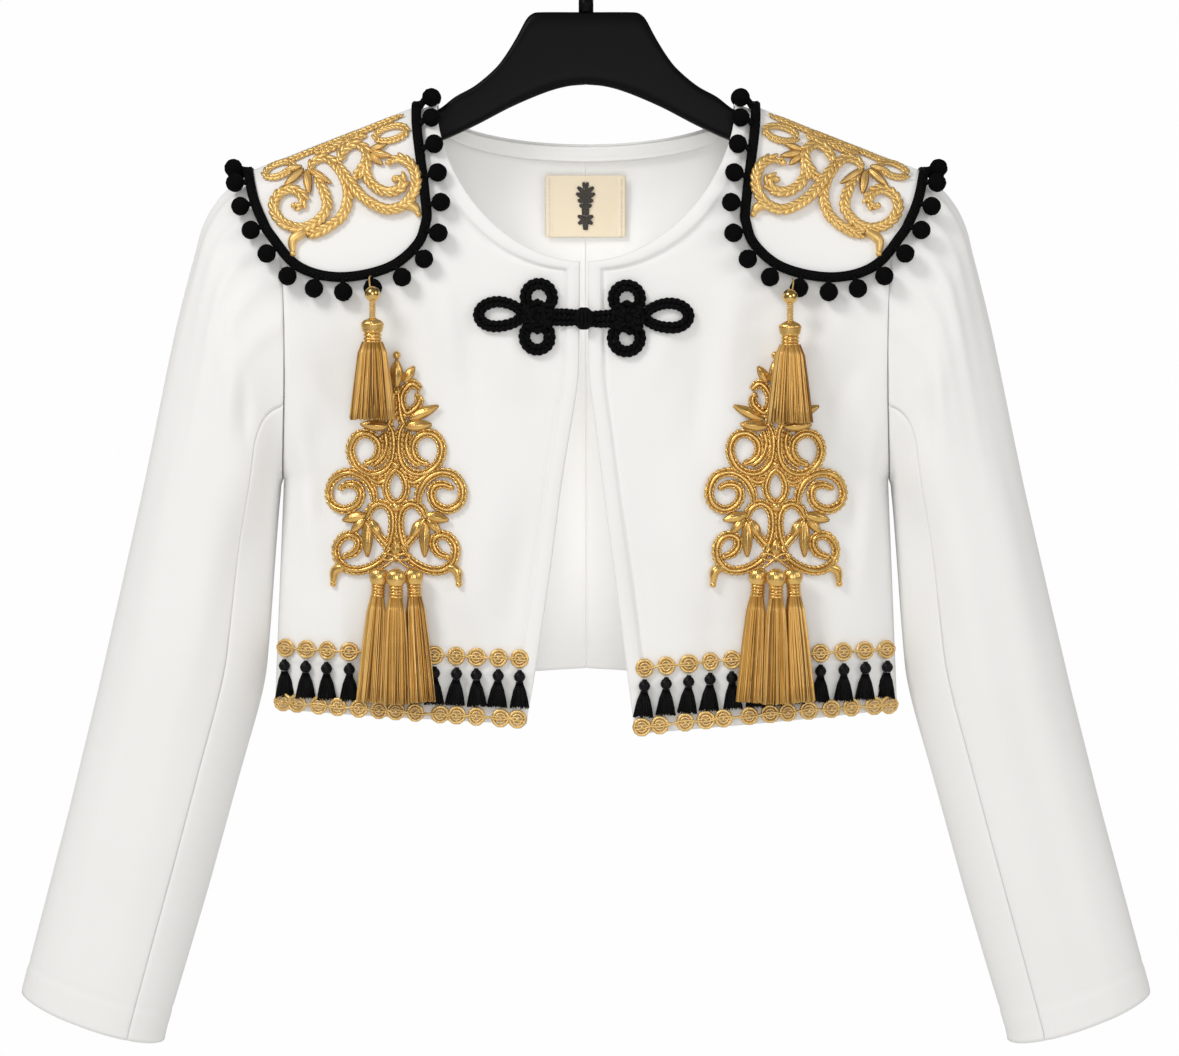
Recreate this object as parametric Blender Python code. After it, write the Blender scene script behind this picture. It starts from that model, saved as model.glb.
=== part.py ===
"""Matador jacket on a plain hanger: a cropped white bolero with corded epaulettes.

Frame: +Z up, +X to the right of someone who faces the jacket's front, the front at -Y.
The origin is where the hanger's hook bears on its rail.
Every length below is in millimetres, and MM turns it into metres.
"left" and "right" are as seen from the front; SIGN gives the side of X.
"""
import math

import bmesh
import bpy
from mathutils import Vector

MM = 0.001
SIGN = {"left": -1, "right": 1}

# ---- driving dimensions -------------------------------------------------------------
FRONT_NECK_SHARE = 0.44   # part of the front edge, from the top, that is neckline
BACK_NECK_SHARE = 0.34
PIT_SHARE = 0.60      # part of the outer edge that is armhole

SEAM = 0.3            # gap between neighbouring pieces
STAND_OFF = 1.5       # gap under what is sewn on a curved panel, between the panel's folds
WALL = 1.6            # shell cloth
LABEL_OFF = 3.0       # the label hangs this far inside the back
FLAP_WALL = 2.0       # epaulette, interlined
NECK_X = 107.0        # neck point, out from the middle
NECK_Z = -127.0       # neck point, height of the shoulder ridge there
SHOULDER_SLOPE = 0.39  # drop of the shoulder for each millimetre outwards
SHOULDER_X = 223.0    # shoulder point, the top of the armhole
PIT_X = 217.5         # underarm point
PIT_Z = -398.0
ARMHOLE_GAP = 0.6     # the sleeve stands this far off the body at the armhole seam
ARMHOLE_BOW = 6.0     # how far the armhole's middle curves inwards
CHEST_DEPTH = 47.0    # half the body's depth at the middle
ARMHOLE_DEPTH = 44.0  # half the depth at the armhole
HEM_TAPER = 0.10      # share of the depth lost from the underarm to the hem
SIDE_ROUND = 6.0      # exponent of the turn from front to side
SIDE_HEM_X = 224.0    # side seam at the hem
SIDE_HEM_Z = -562.0
BACK_HEM_RISE = 27.0  # the back hem rises this much to the middle
BACK_NECK_DROP = 27.0
FRONT_NECK_DROP = 117.0
FRONT_NECK_POWER = 1.85
CF_TOP_Z = NECK_Z - FRONT_NECK_DROP
FACING_WIDTH = 11.0
FACING_REACH = 98.0   # half the length of the back neck facing
FACING_OFF = 1.9      # gap between the back's inner face and the facing
FACING_WALL = 1.2
LABEL_WALL = 1.0
LABEL_X = (-29.4, -10.0, 10.0, 28.6)
LABEL_Z = (-176.5, -191.0, -206.0, -220.5)
MIDDLE_X = -1.5       # where the two fronts meet

# Front edges fall apart below the frog: distance from MIDDLE_X at each height.
FRONT_EDGE = {        # columns: height z, distance
    "left": [(CF_TOP_Z, 2.6), (-327.0, 3.4), (-350.0, 7.2), (-400.0, 15.6), (-459.0, 23.0),
             (-533.0, 34.0), (-572.0, 41.0)],
    "right": [(CF_TOP_Z, 2.6), (-327.0, 3.4), (-358.0, 7.8), (-420.0, 15.4), (-491.0, 25.2),
              (-534.0, 30.4), (-579.0, 36.2)],
}

# Sleeve sections, from the armhole to the cuff.
# columns: height of the outer point, height of the inner point, half the depth
SLEEVE_SECTIONS = [
    (-172.2, -398.0, 44.0), (-182.0, -400.0, 44.4), (-197.0, -402.5, 45.6),
    (-219.0, -405.5, 46.5), (-250.0, -409.5, 46.5), (-288.0, -416.0, 45.0),
    (-340.0, -431.0, 42.5), (-402.0, -462.0, 40.0), (-478.0, -518.0, 37.5),
    (-560.0, -591.0, 34.5), (-655.0, -684.0, 31.0), (-766.0, -800.5, 27.0),
]
# columns: height z, distance from the middle plane
SLEEVE_OUTER = [(-172.2, 223.0), (-182.0, 245.0), (-190.0, 257.5), (-204.5, 269.0),
                (-219.0, 276.0), (-250.0, 284.0), (-291.0, 293.5), (-406.0, 318.5),
                (-550.0, 351.0), (-636.5, 372.0), (-723.0, 394.6), (-766.0, 406.0)]
SLEEVE_INNER = [(-398.0, 217.5), (-420.0, 219.6), (-460.0, 222.6), (-500.0, 225.4),
                (-538.0, 228.6), (-560.0, 233.5), (-607.0, 247.0), (-694.0, 271.0),
                (-751.0, 288.0), (-800.5, 303.0)]
SLEEVE_CLEAR = 1.2          # the sleeve hangs this far off the side seam
OUTER_TRIM = {"left": 0.0, "right": 3.5}   # the right sleeve hangs a little closer
CUFF_SAG = 8.0              # the cuff's edge curves down between its corners
FRONT_SLEEVE_SEAM = 122.0   # degrees round the sleeve from its outer line, by the front
BACK_SLEEVE_SEAM = 245.0

# Epaulette outline on the front, mirrored on the back.  columns: distance out, height
FLAP_INNER = [(121.7, NECK_Z - SHOULDER_SLOPE * (121.7 - NECK_X)), (120.5, -153.0),
              (115.5, -188.0), (112.3, -214.6)]
FLAP_BOTTOM = [(112.3, -214.6), (119.0, -232.5), (140.0, -249.0), (175.0, -256.0),
               (205.0, -248.5), (226.8, -224.6)]
FLAP_OUTER = [(243.0, NECK_Z - SHOULDER_SLOPE * (243.0 - NECK_X)), (236.0, -205.0),
              (226.8, -224.6)]
FLAP_OFF = 3.6        # outer face of the flap above the shell
FLAP_LIFT = 0.14      # its lobes stand off the sleeve by this share of the distance past
FLAP_LIFT_X = 204.0
BRAID_WIDTH = 7.0
BRAID_THICK = 4.0
POMPOM = 13.2         # diameter
POMPOM_REACH = 11.4   # pompom centre outside the braid's middle
POMPOMS = 32

ROSETTE = 13.4        # diameter
ROSETTES = 12         # in each row
ROSETTE_THICK = 2.6
# columns: distance out of the first and last rosette, height of the first and last
ROSETTE_ROWS = {
    ("left", "upper"): (213.5, 47.0, -518.8, -525.8),
    ("left", "lower"): (214.5, 48.5, -557.5, -568.6),
    ("right", "upper"): (213.5, 41.5, -519.8, -532.4),
    ("right", "lower"): (214.5, 39.5, -559.5, -574.2),
}
TASSEL_BLACK = (2.6, 3.6, 2.2, 6.6)   # radii: cap, head, neck, skirt
TASSEL_BLACK_DROP = 24.0
TAPE_RADIUS = 1.5     # cord that carries the black tassels
TAPE_DROP = 1.6       # its middle below the rosettes' edge
FRINGE_OFF = (2.6, 3.4, 4.2)   # cord, tassel tops and tassel ends above the panel

SCROLL_X = 135.0      # axis of the scroll motif on each front
SCROLL_THICK = 3.4
TASSEL_X = 135.4      # the three long tassels
TASSEL_TOP_Z = -461.0
TASSEL_SPREAD = (11.6, 18.2)   # spacing at the heads, at the skirts' ends
# How far the long tassels hang off the front at the head and at the end, and how much
# lower their heads sit.
TASSEL_OFF = {"middle": (16.6, 15.2, 0.8), "side": (10.2, 14.2, 0.0)}
EPAULETTE_TASSEL_X = {"left": 150.4, "right": 143.8}
EPAULETTE_TASSEL_Z = {"left": -268.0, "right": -270.0}

FROG_Z = -284.2
HANGER_THICK = 12.0
POST_RADIUS = 5.4
HOOK_RADIUS = 3.6
HOOK_BEND = 19.0

COLOURS = {           # red, green, blue (linear), roughness, metallic
    "cloth": (0.84, 0.83, 0.80, 0.85, 0.0),
    "facing": (0.74, 0.72, 0.67, 0.85, 0.0),
    "black_cord": (0.012, 0.012, 0.013, 0.75, 0.0),
    "gold_cord": (0.62, 0.37, 0.10, 0.45, 0.2),
    "gold_bead": (0.80, 0.50, 0.16, 0.25, 0.9),
    "label": (0.90, 0.78, 0.60, 0.7, 0.0),
    "hanger": (0.010, 0.010, 0.011, 0.35, 0.0),
}


# ---- small helpers ------------------------------------------------------------------
def clamp(value, low=0.0, high=1.0):
    return max(low, min(high, value))


def lerp(a, b, t):
    return a + (b - a) * t


def table(rows, key, column=1):
    """Read a column of a table sorted by its falling or rising first column."""
    falling = rows[0][0] > rows[-1][0]
    for first, second in zip(rows, rows[1:]):
        inside = first[0] >= key >= second[0] if falling else first[0] <= key <= second[0]
        if inside:
            return lerp(first[column], second[column],
                        (key - first[0]) / (second[0] - first[0]))
    past_end = key < rows[-1][0] if falling else key > rows[-1][0]
    return rows[-1][column] if past_end else rows[0][column]


def spline(points, t):
    """Catmull-Rom curve through the points, t from 0 to 1."""
    last = len(points) - 1
    at = clamp(t) * last
    k = min(int(at), last - 1)
    f = at - k
    p1 = points[k]
    p2 = points[k + 1]
    p0 = points[k - 1] if k > 0 else tuple(2 * a - b for a, b in zip(p1, p2))
    p3 = points[k + 2] if k + 2 <= last else tuple(2 * b - a for a, b in zip(p1, p2))
    return tuple(0.5 * (2 * b + (c - a) * f + (2 * a - 5 * b + 4 * c - d) * f ** 2
                        + (3 * b - a - 3 * c + d) * f ** 3)
                 for a, b, c, d in zip(p0, p1, p2, p3))


def material(name):
    found = bpy.data.materials.get(name)
    if found:
        return found
    red, green, blue, roughness, metallic = COLOURS[name]
    made = bpy.data.materials.new(name)
    made.use_nodes = True
    shader = made.node_tree.nodes["Principled BSDF"]
    shader.inputs["Base Color"].default_value = (red, green, blue, 1.0)
    shader.inputs["Roughness"].default_value = roughness
    shader.inputs["Metallic"].default_value = metallic
    return made


def add_object(name, bm, colour, smooth=True):
    """Turn a bmesh in millimetres into a named object in metres."""
    bmesh.ops.scale(bm, vec=(MM, MM, MM), verts=bm.verts)
    bmesh.ops.recalc_face_normals(bm, faces=bm.faces)
    mesh = bpy.data.meshes.new(name)
    bm.to_mesh(mesh)
    bm.free()
    mesh.materials.append(material(colour))
    if smooth:
        mesh.shade_smooth()
        mesh.set_sharp_from_angle(angle=math.radians(50))
    made = bpy.data.objects.new(name, mesh)
    bpy.context.scene.collection.objects.link(made)
    return made


# ---- the jacket's surfaces ----------------------------------------------------------
def ridge_z(x):
    """Height of the shoulder ridge, level between the neck points."""
    return NECK_Z - SHOULDER_SLOPE * max(0.0, abs(x) - NECK_X)


TOP_Z = ridge_z(SHOULDER_X)
MID_Z = (TOP_Z + PIT_Z) / 2
HALF_HEIGHT = (TOP_Z - PIT_Z) / 2


def seam_x(z):
    """Distance out of the armhole seam, and of the side seam below the underarm."""
    if z < PIT_Z:
        return lerp(PIT_X, SIDE_HEM_X, (z - PIT_Z) / (SIDE_HEM_Z - PIT_Z))
    rise = clamp((z - MID_Z) / HALF_HEIGHT, -1.0, 1.0)
    bow = ARMHOLE_BOW * (1 - rise ** 2)
    return lerp(PIT_X, SHOULDER_X, (rise + 1) / 2) - bow


def body_depth(x, z):
    """How far the shell stands from the middle plane at (x, z), front and back alike."""
    across = (x / SHOULDER_X) ** 2
    depth = lerp(CHEST_DEPTH, ARMHOLE_DEPTH, across)
    depth *= 1 - HEM_TAPER * clamp((PIT_Z - z) / (PIT_Z - SIDE_HEM_Z))
    fall = clamp((ridge_z(x) - z) / HALF_HEIGHT)
    depth *= math.sqrt(1 - (1 - fall) ** 2)
    low = clamp((MID_Z - z) / HALF_HEIGHT)
    share = clamp(abs(x) / seam_x(z))
    return depth * math.sqrt(max(0.0, 1 - low ** 2 * share ** SIDE_ROUND))


def shell_point(x, z, face, off=0.0):
    """Point of the front (face -1) or back (face +1) shell, moved out by off."""
    step = 0.5
    here = body_depth(x, z)
    slope_x = (body_depth(x + step, z) - body_depth(x - step, z)) / (2 * step)
    slope_z = (body_depth(x, z + step) - body_depth(x, z - step)) / (2 * step)
    normal = Vector((-slope_x, face, -slope_z)).normalized()
    return Vector((x, face * (here + SEAM / 2), z)) + normal * off


def armhole_point(share):
    """Front-view point of the armhole, share 0 at the shoulder and 1 at the underarm."""
    z = MID_Z + HALF_HEIGHT * math.cos(math.pi * share)
    return seam_x(z), z


def front_edge_point(side, share):
    """Neckline then front edge, share 0 at the neck point and 1 at the hem."""
    if share < FRONT_NECK_SHARE:
        turn = math.pi / 2 * (share / FRONT_NECK_SHARE) ** 1.45
        power = 2 / FRONT_NECK_POWER
        gap = FRONT_EDGE[side][0][1] + MIDDLE_X * SIGN[side]
        x = gap + (NECK_X - gap) * math.cos(turn) ** power
        return x, NECK_Z - FRONT_NECK_DROP * math.sin(turn) ** power
    end_z = FRONT_EDGE[side][-1][0]
    z = lerp(CF_TOP_Z, end_z, (share - FRONT_NECK_SHARE) / (1 - FRONT_NECK_SHARE))
    return table(FRONT_EDGE[side], z) + MIDDLE_X * SIGN[side], z


def back_edge_point(share):
    """Back neckline then centre-back seam."""
    if share < BACK_NECK_SHARE:
        turn = math.pi / 2 * (share / BACK_NECK_SHARE) ** 1.2
        return (max(SEAM / 2, NECK_X * math.cos(turn)),
                NECK_Z - BACK_NECK_DROP * math.sin(turn))
    top = NECK_Z - BACK_NECK_DROP
    return SEAM / 2, lerp(top, SIDE_HEM_Z + BACK_HEM_RISE,
                          (share - BACK_NECK_SHARE) / (1 - BACK_NECK_SHARE))


def outer_edge_point(share):
    """Armhole then side seam."""
    if share < PIT_SHARE:
        return armhole_point(share / PIT_SHARE)
    z = lerp(PIT_Z, SIDE_HEM_Z, (share - PIT_SHARE) / (1 - PIT_SHARE))
    return seam_x(z), z


def panel_grid(side, face, rows, columns):
    """Grid of a front or back panel, from the shoulder seam down to the hem."""
    grid = []
    for share in rows:
        inner = front_edge_point(side, share) if face < 0 else back_edge_point(share)
        outer = outer_edge_point(share)
        row = []
        for across in columns:
            x = lerp(inner[0], outer[0], across)
            bend = 4 * across * (1 - across)
            hem = 4.0 * bend * share ** 6 * (1 if face < 0 else -1)
            z = lerp(inner[1], outer[1], across) - hem
            z = min(z, ridge_z(x))
            y = face * (body_depth(x, z) + SEAM / 2)
            row.append(Vector((SIGN[side] * x, y, z)))
        grid.append(row)
    return grid


def grid_normals(grid):
    """Normal at each grid point, as the mean of the quads round it."""
    rows = len(grid)
    columns = len(grid[0])
    normals = [[Vector() for _ in range(columns)] for _ in range(rows)]
    for i in range(rows - 1):
        for j in range(columns - 1):
            a, b = grid[i][j], grid[i][j + 1]
            c, d = grid[i + 1][j + 1], grid[i + 1][j]
            normal = (c - a).cross(d - b)
            for k, m in ((i, j), (i, j + 1), (i + 1, j + 1), (i + 1, j)):
                normals[k][m] += normal
    return normals


def wall(name, grid, thickness, colour, outward, pin=None, normals=None):
    """Closed wall whose outer face is the grid.

    outward is a vector that the middle normal agrees with.  pin(i, j) may name an axis
    that the inner point keeps, so that two pieces that meet there stay their seam apart.
    """
    normals = normals or grid_normals(grid)
    rows = len(grid)
    columns = len(grid[0])
    middle = normals[rows // 2][columns // 2]
    flip = 1 if middle.dot(Vector(outward)) > 0 else -1
    bm = bmesh.new()
    outer = [[bm.verts.new(point) for point in row] for row in grid]
    inner = []
    for i, row in enumerate(grid):
        inner.append([])
        for j, point in enumerate(row):
            normal = normals[i][j].copy()
            axis = pin(i, j) if pin else None
            if axis is not None:
                normal[axis] = 0.0
            inner[i].append(bm.verts.new(point - normal.normalized() * flip * thickness))
    for i in range(rows - 1):
        for j in range(columns - 1):
            bm.faces.new((outer[i][j], outer[i][j + 1], outer[i + 1][j + 1], outer[i + 1][j]))
            bm.faces.new((inner[i][j], inner[i + 1][j], inner[i + 1][j + 1], inner[i][j + 1]))
    for i in range(rows - 1):
        for j in (0, columns - 1):
            bm.faces.new((outer[i][j], outer[i + 1][j], inner[i + 1][j], inner[i][j]))
    for j in range(columns - 1):
        for i in (0, rows - 1):
            bm.faces.new((outer[i][j], inner[i][j], inner[i][j + 1], outer[i][j + 1]))
    return add_object(name, bm, colour)


def tube_mesh(bm, path, radius, sides, closed=False, flat=1.0, up=None):
    """Tube along a path; flat squeezes it across up(k), the direction it lies on."""
    count = len(path)
    rings = []
    for k, point in enumerate(path):
        before = path[k - 1] if k > 0 or closed else path[k]
        after = path[(k + 1) % count] if k < count - 1 or closed else path[k]
        along = (after - before).normalized()
        lift = up(k) if up else Vector((0, -1, 0))
        across = along.cross(lift).normalized()
        lift = across.cross(along).normalized()
        size = radius(k) if callable(radius) else radius
        ring = []
        for s in range(sides):
            turn = 2 * math.pi * (s + 0.5) / sides
            ring.append(bm.verts.new(point + across * size * math.cos(turn)
                                     + lift * size * flat * math.sin(turn)))
        rings.append(ring)
    for k in range(count if closed else count - 1):
        a = rings[k]
        b = rings[(k + 1) % count]
        for s in range(sides):
            t = (s + 1) % sides
            bm.faces.new((a[s], a[t], b[t], b[s]))
    if not closed:
        bm.faces.new(rings[0])
        bm.faces.new(rings[-1])


def turned(bm, profile, top, lean, sides, flat=1.0):
    """Body turned about a line from top along lean; profile rows are (drop, radius)."""
    along = Vector(lean).normalized()
    across = Vector((0, 1, 0)).cross(along).normalized()
    deep = along.cross(across)
    rings = []
    for drop, radius in profile:
        centre = top + along * drop
        rings.append([bm.verts.new(
            centre + across * radius * math.cos(2 * math.pi * s / sides)
            + deep * radius * flat * math.sin(2 * math.pi * s / sides))
            for s in range(sides)])
    for a, b in zip(rings, rings[1:]):
        for s in range(sides):
            t = (s + 1) % sides
            bm.faces.new((a[s], a[t], b[t], b[s]))
    bm.faces.new(rings[0])
    bm.faces.new(rings[-1])


def united(name, pieces, colour):
    """Union of closed pieces, each a bmesh in millimetres, as one body."""
    objects = [add_object(f"{name}_piece_{k}", bm, colour) for k, bm in enumerate(pieces)]
    base = objects[0]
    group = bpy.data.collections.new(f"{name}_pieces")
    for piece in objects[1:]:
        group.objects.link(piece)
    union = base.modifiers.new("union", "BOOLEAN")
    union.operation = "UNION"
    union.operand_type = "COLLECTION"
    union.collection = group
    union.solver = "EXACT"
    shape = bpy.data.meshes.new_from_object(base.evaluated_get(
        bpy.context.evaluated_depsgraph_get()))
    for piece in objects:
        bpy.data.objects.remove(piece)
    bpy.data.collections.remove(group)
    shape.name = name
    made = bpy.data.objects.new(name, shape)
    bpy.context.scene.collection.objects.link(made)
    return made


# ---- cloth --------------------------------------------------------------------------
FRONT_ROWS = [0, 0.035, 0.08, 0.14, 0.21, 0.28, 0.335, 0.39, 0.44, 0.52, 0.60, 0.73,
              0.86, 1.0]
BACK_ROWS = [0, 0.04, 0.09, 0.16, 0.24, 0.34, 0.39, 0.45, 0.52, 0.60, 0.73, 0.86, 1.0]
PANEL_COLUMNS = [0, 0.2, 0.4, 0.58, 0.73, 0.85, 0.93, 0.98, 1.0]
SLEEVE_COLUMN_STEP = 14.0   # degrees


def build_body():
    last = len(PANEL_COLUMNS) - 1

    def pins(rows, face):
        def pin(i, j):
            if i == 0 or (j == last and rows[i] >= PIT_SHARE):
                return 1
            middle_seam = face > 0 and j == 0 and rows[i] > BACK_NECK_SHARE
            return 0 if j == last or middle_seam else None
        return pin

    for side in SIGN:
        for name, face, rows in (("front", -1, FRONT_ROWS), ("back", 1, BACK_ROWS)):
            grid = panel_grid(side, face, rows, PANEL_COLUMNS)
            wall(f"{name}_{side}", grid, WALL, "cloth", (0, face, 0), pins(rows, face))


def sleeve_point(side, row, degrees):
    """Point of the sleeve's shell; row runs through SLEEVE_SECTIONS, 0 at the armhole."""
    k = max(0, min(int(row), len(SLEEVE_SECTIONS) - 2))
    f = row - k
    outer_z, inner_z, depth = (lerp(a, b, f) for a, b in
                               zip(SLEEVE_SECTIONS[k], SLEEVE_SECTIONS[k + 1]))
    away = clamp(row / 2)
    trim = OUTER_TRIM[side] * math.sin(math.pi * clamp(row / (len(SLEEVE_SECTIONS) - 1)))
    outer = Vector((table(SLEEVE_OUTER, outer_z) - trim, outer_z))
    inner = Vector((table(SLEEVE_INNER, inner_z) + away * SLEEVE_CLEAR, inner_z))
    middle = (outer + inner) / 2
    half = (outer - inner) / 2
    turn = math.radians(degrees)
    flat = middle + half * math.cos(turn)
    deep = abs(math.sin(turn))
    bow = ARMHOLE_BOW * (1 - clamp(row / 4))
    sag = CUFF_SAG * clamp(row - len(SLEEVE_SECTIONS) + 2) * deep
    x = SIGN[side] * (flat.x - bow * deep ** 2 + ARMHOLE_GAP)
    return Vector((x, -depth * math.sin(turn), flat.y - sag))


def sleeve_normal(side, row, degrees):
    around = sleeve_point(side, row, degrees + 2) - sleeve_point(side, row, degrees - 2)
    down = sleeve_point(side, row + 0.1, degrees) - sleeve_point(side, row - 0.1, degrees)
    return around.cross(down) * SIGN[side]


def build_sleeves():
    rows = list(range(len(SLEEVE_SECTIONS)))
    spans = {"top": (BACK_SLEEVE_SEAM - 360, FRONT_SLEEVE_SEAM),
             "under": (FRONT_SLEEVE_SEAM, BACK_SLEEVE_SEAM)}
    gap = math.degrees(SEAM / 2 / 40)
    for side, sign in SIGN.items():
        for part, (start, end) in spans.items():
            steps = round((end - start) / (SLEEVE_COLUMN_STEP + 8 * (part == "top")))
            turns = [lerp(start + gap, end - gap, k / steps) for k in range(steps + 1)]
            grid = [[sleeve_point(side, row, turn) for turn in turns] for row in rows]
            normals = [[sleeve_normal(side, row, turn) for turn in turns] for row in rows]
            outward = (sign, 0, 0) if part == "top" else (-sign, 0, 0)
            wall(f"sleeve_{part}_{side}", grid, WALL, "cloth", outward,
                 lambda i, j: 0 if i == 0 else None, normals)


def build_neck_facing():
    columns = [k / 5 - 1 for k in range(11)]
    grid = []
    for down in (0.6, FACING_WIDTH / 2, FACING_WIDTH):
        row = []
        for across in columns:
            x = FACING_REACH * across
            z = NECK_Z - BACK_NECK_DROP * math.sqrt(1 - (x / NECK_X) ** 2) - down
            row.append(shell_point(x, z, 1, -(WALL + FACING_OFF)))
        grid.append(row)
    wall("back_neck_facing", grid, FACING_WALL, "facing", (0, 1, 0))


def build_label():
    grid = [[shell_point(x, z, 1, -(WALL + LABEL_OFF)) for x in LABEL_X] for z in LABEL_Z]
    wall("label", grid, LABEL_WALL, "label", (0, 1, 0))


# ---- epaulettes ---------------------------------------------------------------------
FLAP_ROWS = [0.0, 0.05, 0.13, 0.24, 0.38, 0.54, 0.70, 0.85, 1.0]
FLAP_COLUMNS = [0, 0.14, 0.3, 0.46, 0.62, 0.78, 0.9, 1.0]


def flap_outline(across, down):
    """Front-view point of the flap: across 0 inner edge to 1 outer, down 0 ridge to 1."""
    top_x = lerp(FLAP_INNER[0][0], FLAP_OUTER[0][0], across)
    top = Vector((top_x, ridge_z(top_x)))
    bottom = Vector(spline(FLAP_BOTTOM, across))
    inner = Vector(spline(FLAP_INNER, down))
    outer = Vector(spline(FLAP_OUTER, down))
    corners = (Vector(FLAP_INNER[0]), Vector(FLAP_OUTER[0]),
               Vector(FLAP_BOTTOM[0]), Vector(FLAP_BOTTOM[-1]))
    ruled = top.lerp(bottom, down) + inner.lerp(outer, across)
    corner = corners[0].lerp(corners[1], across).lerp(corners[2].lerp(corners[3], across),
                                                      down)
    return ruled - corner


def flap_point(side, x, z, face, off=0.0):
    """Point above the flap's outer face, for |x| and a height z on the bare shoulder."""
    depth = lerp(CHEST_DEPTH, ARMHOLE_DEPTH, (x / SHOULDER_X) ** 2)
    depth += FLAP_LIFT * max(0.0, x - FLAP_LIFT_X)
    lift = FLAP_OFF + off
    fall = clamp((ridge_z(x) - z) / HALF_HEIGHT)
    up = 1 - fall
    out = math.sqrt(1 - up ** 2)
    return Vector((SIGN[side] * x, face * (depth + lift) * out, z + lift * up))


def build_epaulettes():
    downs = [-d for d in reversed(FLAP_ROWS[1:])] + FLAP_ROWS
    for side in SIGN:
        grid = []
        for down in downs:
            face = -1 if down <= 0 else 1
            row = []
            for across in FLAP_COLUMNS:
                x, z = flap_outline(across, abs(down))
                row.append(flap_point(side, x, z, face))
            grid.append(row)
        wall(f"epaulette_{side}", grid, FLAP_WALL, "cloth", (0, 0, 1))


def flap_rim(side, count):
    """Closed path round both lobes of the flap, with the outward direction at each."""
    lobe = [(0.0, d / 8) for d in range(1, 8)]
    lobe += [(a / 14, 1.0) for a in range(15)]
    lobe += [(1.0, 1 - d / 6) for d in range(1, 6)]
    raw = []
    for face in (-1, 1):
        cells = lobe if face < 0 else lobe[::-1]
        start = (0.0, 0.0) if face < 0 else (1.0, 0.0)
        for across, down in [start] + cells:
            x, z = flap_outline(across, down)
            raw.append(flap_point(side, x, z, face, STAND_OFF + BRAID_THICK / 2))
    lengths = [0.0]
    for a, b in zip(raw, raw[1:] + raw[:1]):
        lengths.append(lengths[-1] + (b - a).length)
    path = []
    for k in range(count):
        want = lengths[-1] * k / count
        at = max(n for n, length in enumerate(lengths) if length <= want)
        nearby = [raw[(at + n) % len(raw)] for n in (-1, 0, 1, 2)]
        f = (want - lengths[at]) / (lengths[at + 1] - lengths[at])
        path.append(Vector(spline([tuple(p) for p in nearby], (1 + f) / 3)))
    return path


def rim_frame(path, k, side):
    """Along, outward and upward directions at point k of the rim."""
    along = (path[(k + 1) % len(path)] - path[k - 1]).normalized()
    middle = Vector((SIGN[side] * 178.0, 0.0, -262.0))
    point = path[k]
    up = (point - middle)
    up = Vector((0.0, up.y / ARMHOLE_DEPTH ** 2 * 4, max(0.0, up.z) / HALF_HEIGHT ** 2 * 4))
    up = (up - along * up.dot(along)).normalized()
    outward = along.cross(up) * SIGN[side]
    return along, outward.normalized(), up


def above_shell(point, distance):
    """The point, pushed out of the shoulder until it is at least distance above it."""
    out = abs(point.x)
    depth = lerp(CHEST_DEPTH, ARMHOLE_DEPTH, (out / SHOULDER_X) ** 2) + distance + STAND_OFF
    depth += FLAP_LIFT * max(0.0, out - FLAP_LIFT_X)
    height = HALF_HEIGHT + distance + STAND_OFF
    centre_z = ridge_z(out) - HALF_HEIGHT
    up = max(0.0, (point.z - centre_z) / height)
    reach = math.hypot(point.y / depth, up)
    if reach >= 1:
        return point
    return Vector((point.x, point.y / reach, centre_z + (point.z - centre_z) / reach))


def build_pompom_trims():
    stations = POMPOMS * 2
    for side in SIGN:
        path = flap_rim(side, stations)
        frames = [rim_frame(path, k, side) for k in range(stations)]
        bm = bmesh.new()
        tube_mesh(bm, path, BRAID_WIDTH / 2, 4, True, BRAID_THICK / BRAID_WIDTH,
                  lambda k: frames[k][2])
        pieces = [bm]
        for k in range(0, stations, 2):
            outward, up = frames[k][1:]
            centre = above_shell(path[k] + outward * POMPOM_REACH + up * 1.5, POMPOM / 2)
            bm = bmesh.new()
            bmesh.ops.create_uvsphere(bm, u_segments=6, v_segments=4, radius=POMPOM / 2)
            bmesh.ops.translate(bm, vec=centre, verts=bm.verts)
            pieces.append(bm)
            bm = bmesh.new()
            tube_mesh(bm, [path[k] + outward * 1.2, centre - outward * 2.0], 1.0, 3,
                      up=lambda _: Vector((0.3, 0.2, 1)))
            pieces.append(bm)
        united(f"pompom_braid_{side}", pieces, "black_cord")


# ---- gold scrollwork ----------------------------------------------------------------
# Lobes of the scroll motif's reach.  columns: distance from its axis, height, radius
MOTIF_LOBES = [(0.0, -317.0, 7.0), (0.0, -330.0, 9.0), (0.0, -345.0, 20.0),
               (0.0, -358.0, 24.0), (21.0, -377.5, 17.5), (35.5, -409.0, 20.5),
               (20.0, -432.0, 18.0), (35.5, -451.0, 19.0), (44.0, -467.0, 9.0)]
MOTIF_TOP_Z = -312.0
MOTIF_END_Z = -474.0


def lobe_reach(lobes, z):
    """Widest distance from the axis that any lobe covers at height z."""
    reach = 1.5
    for out, centre, radius in lobes:
        inside = radius ** 2 - (z - centre) ** 2
        if inside > 0:
            reach = max(reach, out + math.sqrt(inside))
    return reach


def build_scroll_motifs():
    rows = 20
    for side in SIGN:
        grid = []
        for k in range(rows + 1):
            z = lerp(MOTIF_TOP_Z, MOTIF_END_Z, k / rows)
            reach = lobe_reach(MOTIF_LOBES, z)
            grid.append([mirrored(shell_point(SCROLL_X + reach * (j / 3 - 1), z, -1,
                                              STAND_OFF + SCROLL_THICK), side)
                         for j in range(7)])
        wall(f"scroll_motif_{side}", grid, SCROLL_THICK, "gold_cord", (0, -1, 0))


def mirrored(point, side):
    return Vector((point.x * SIGN[side], point.y, point.z))


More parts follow.
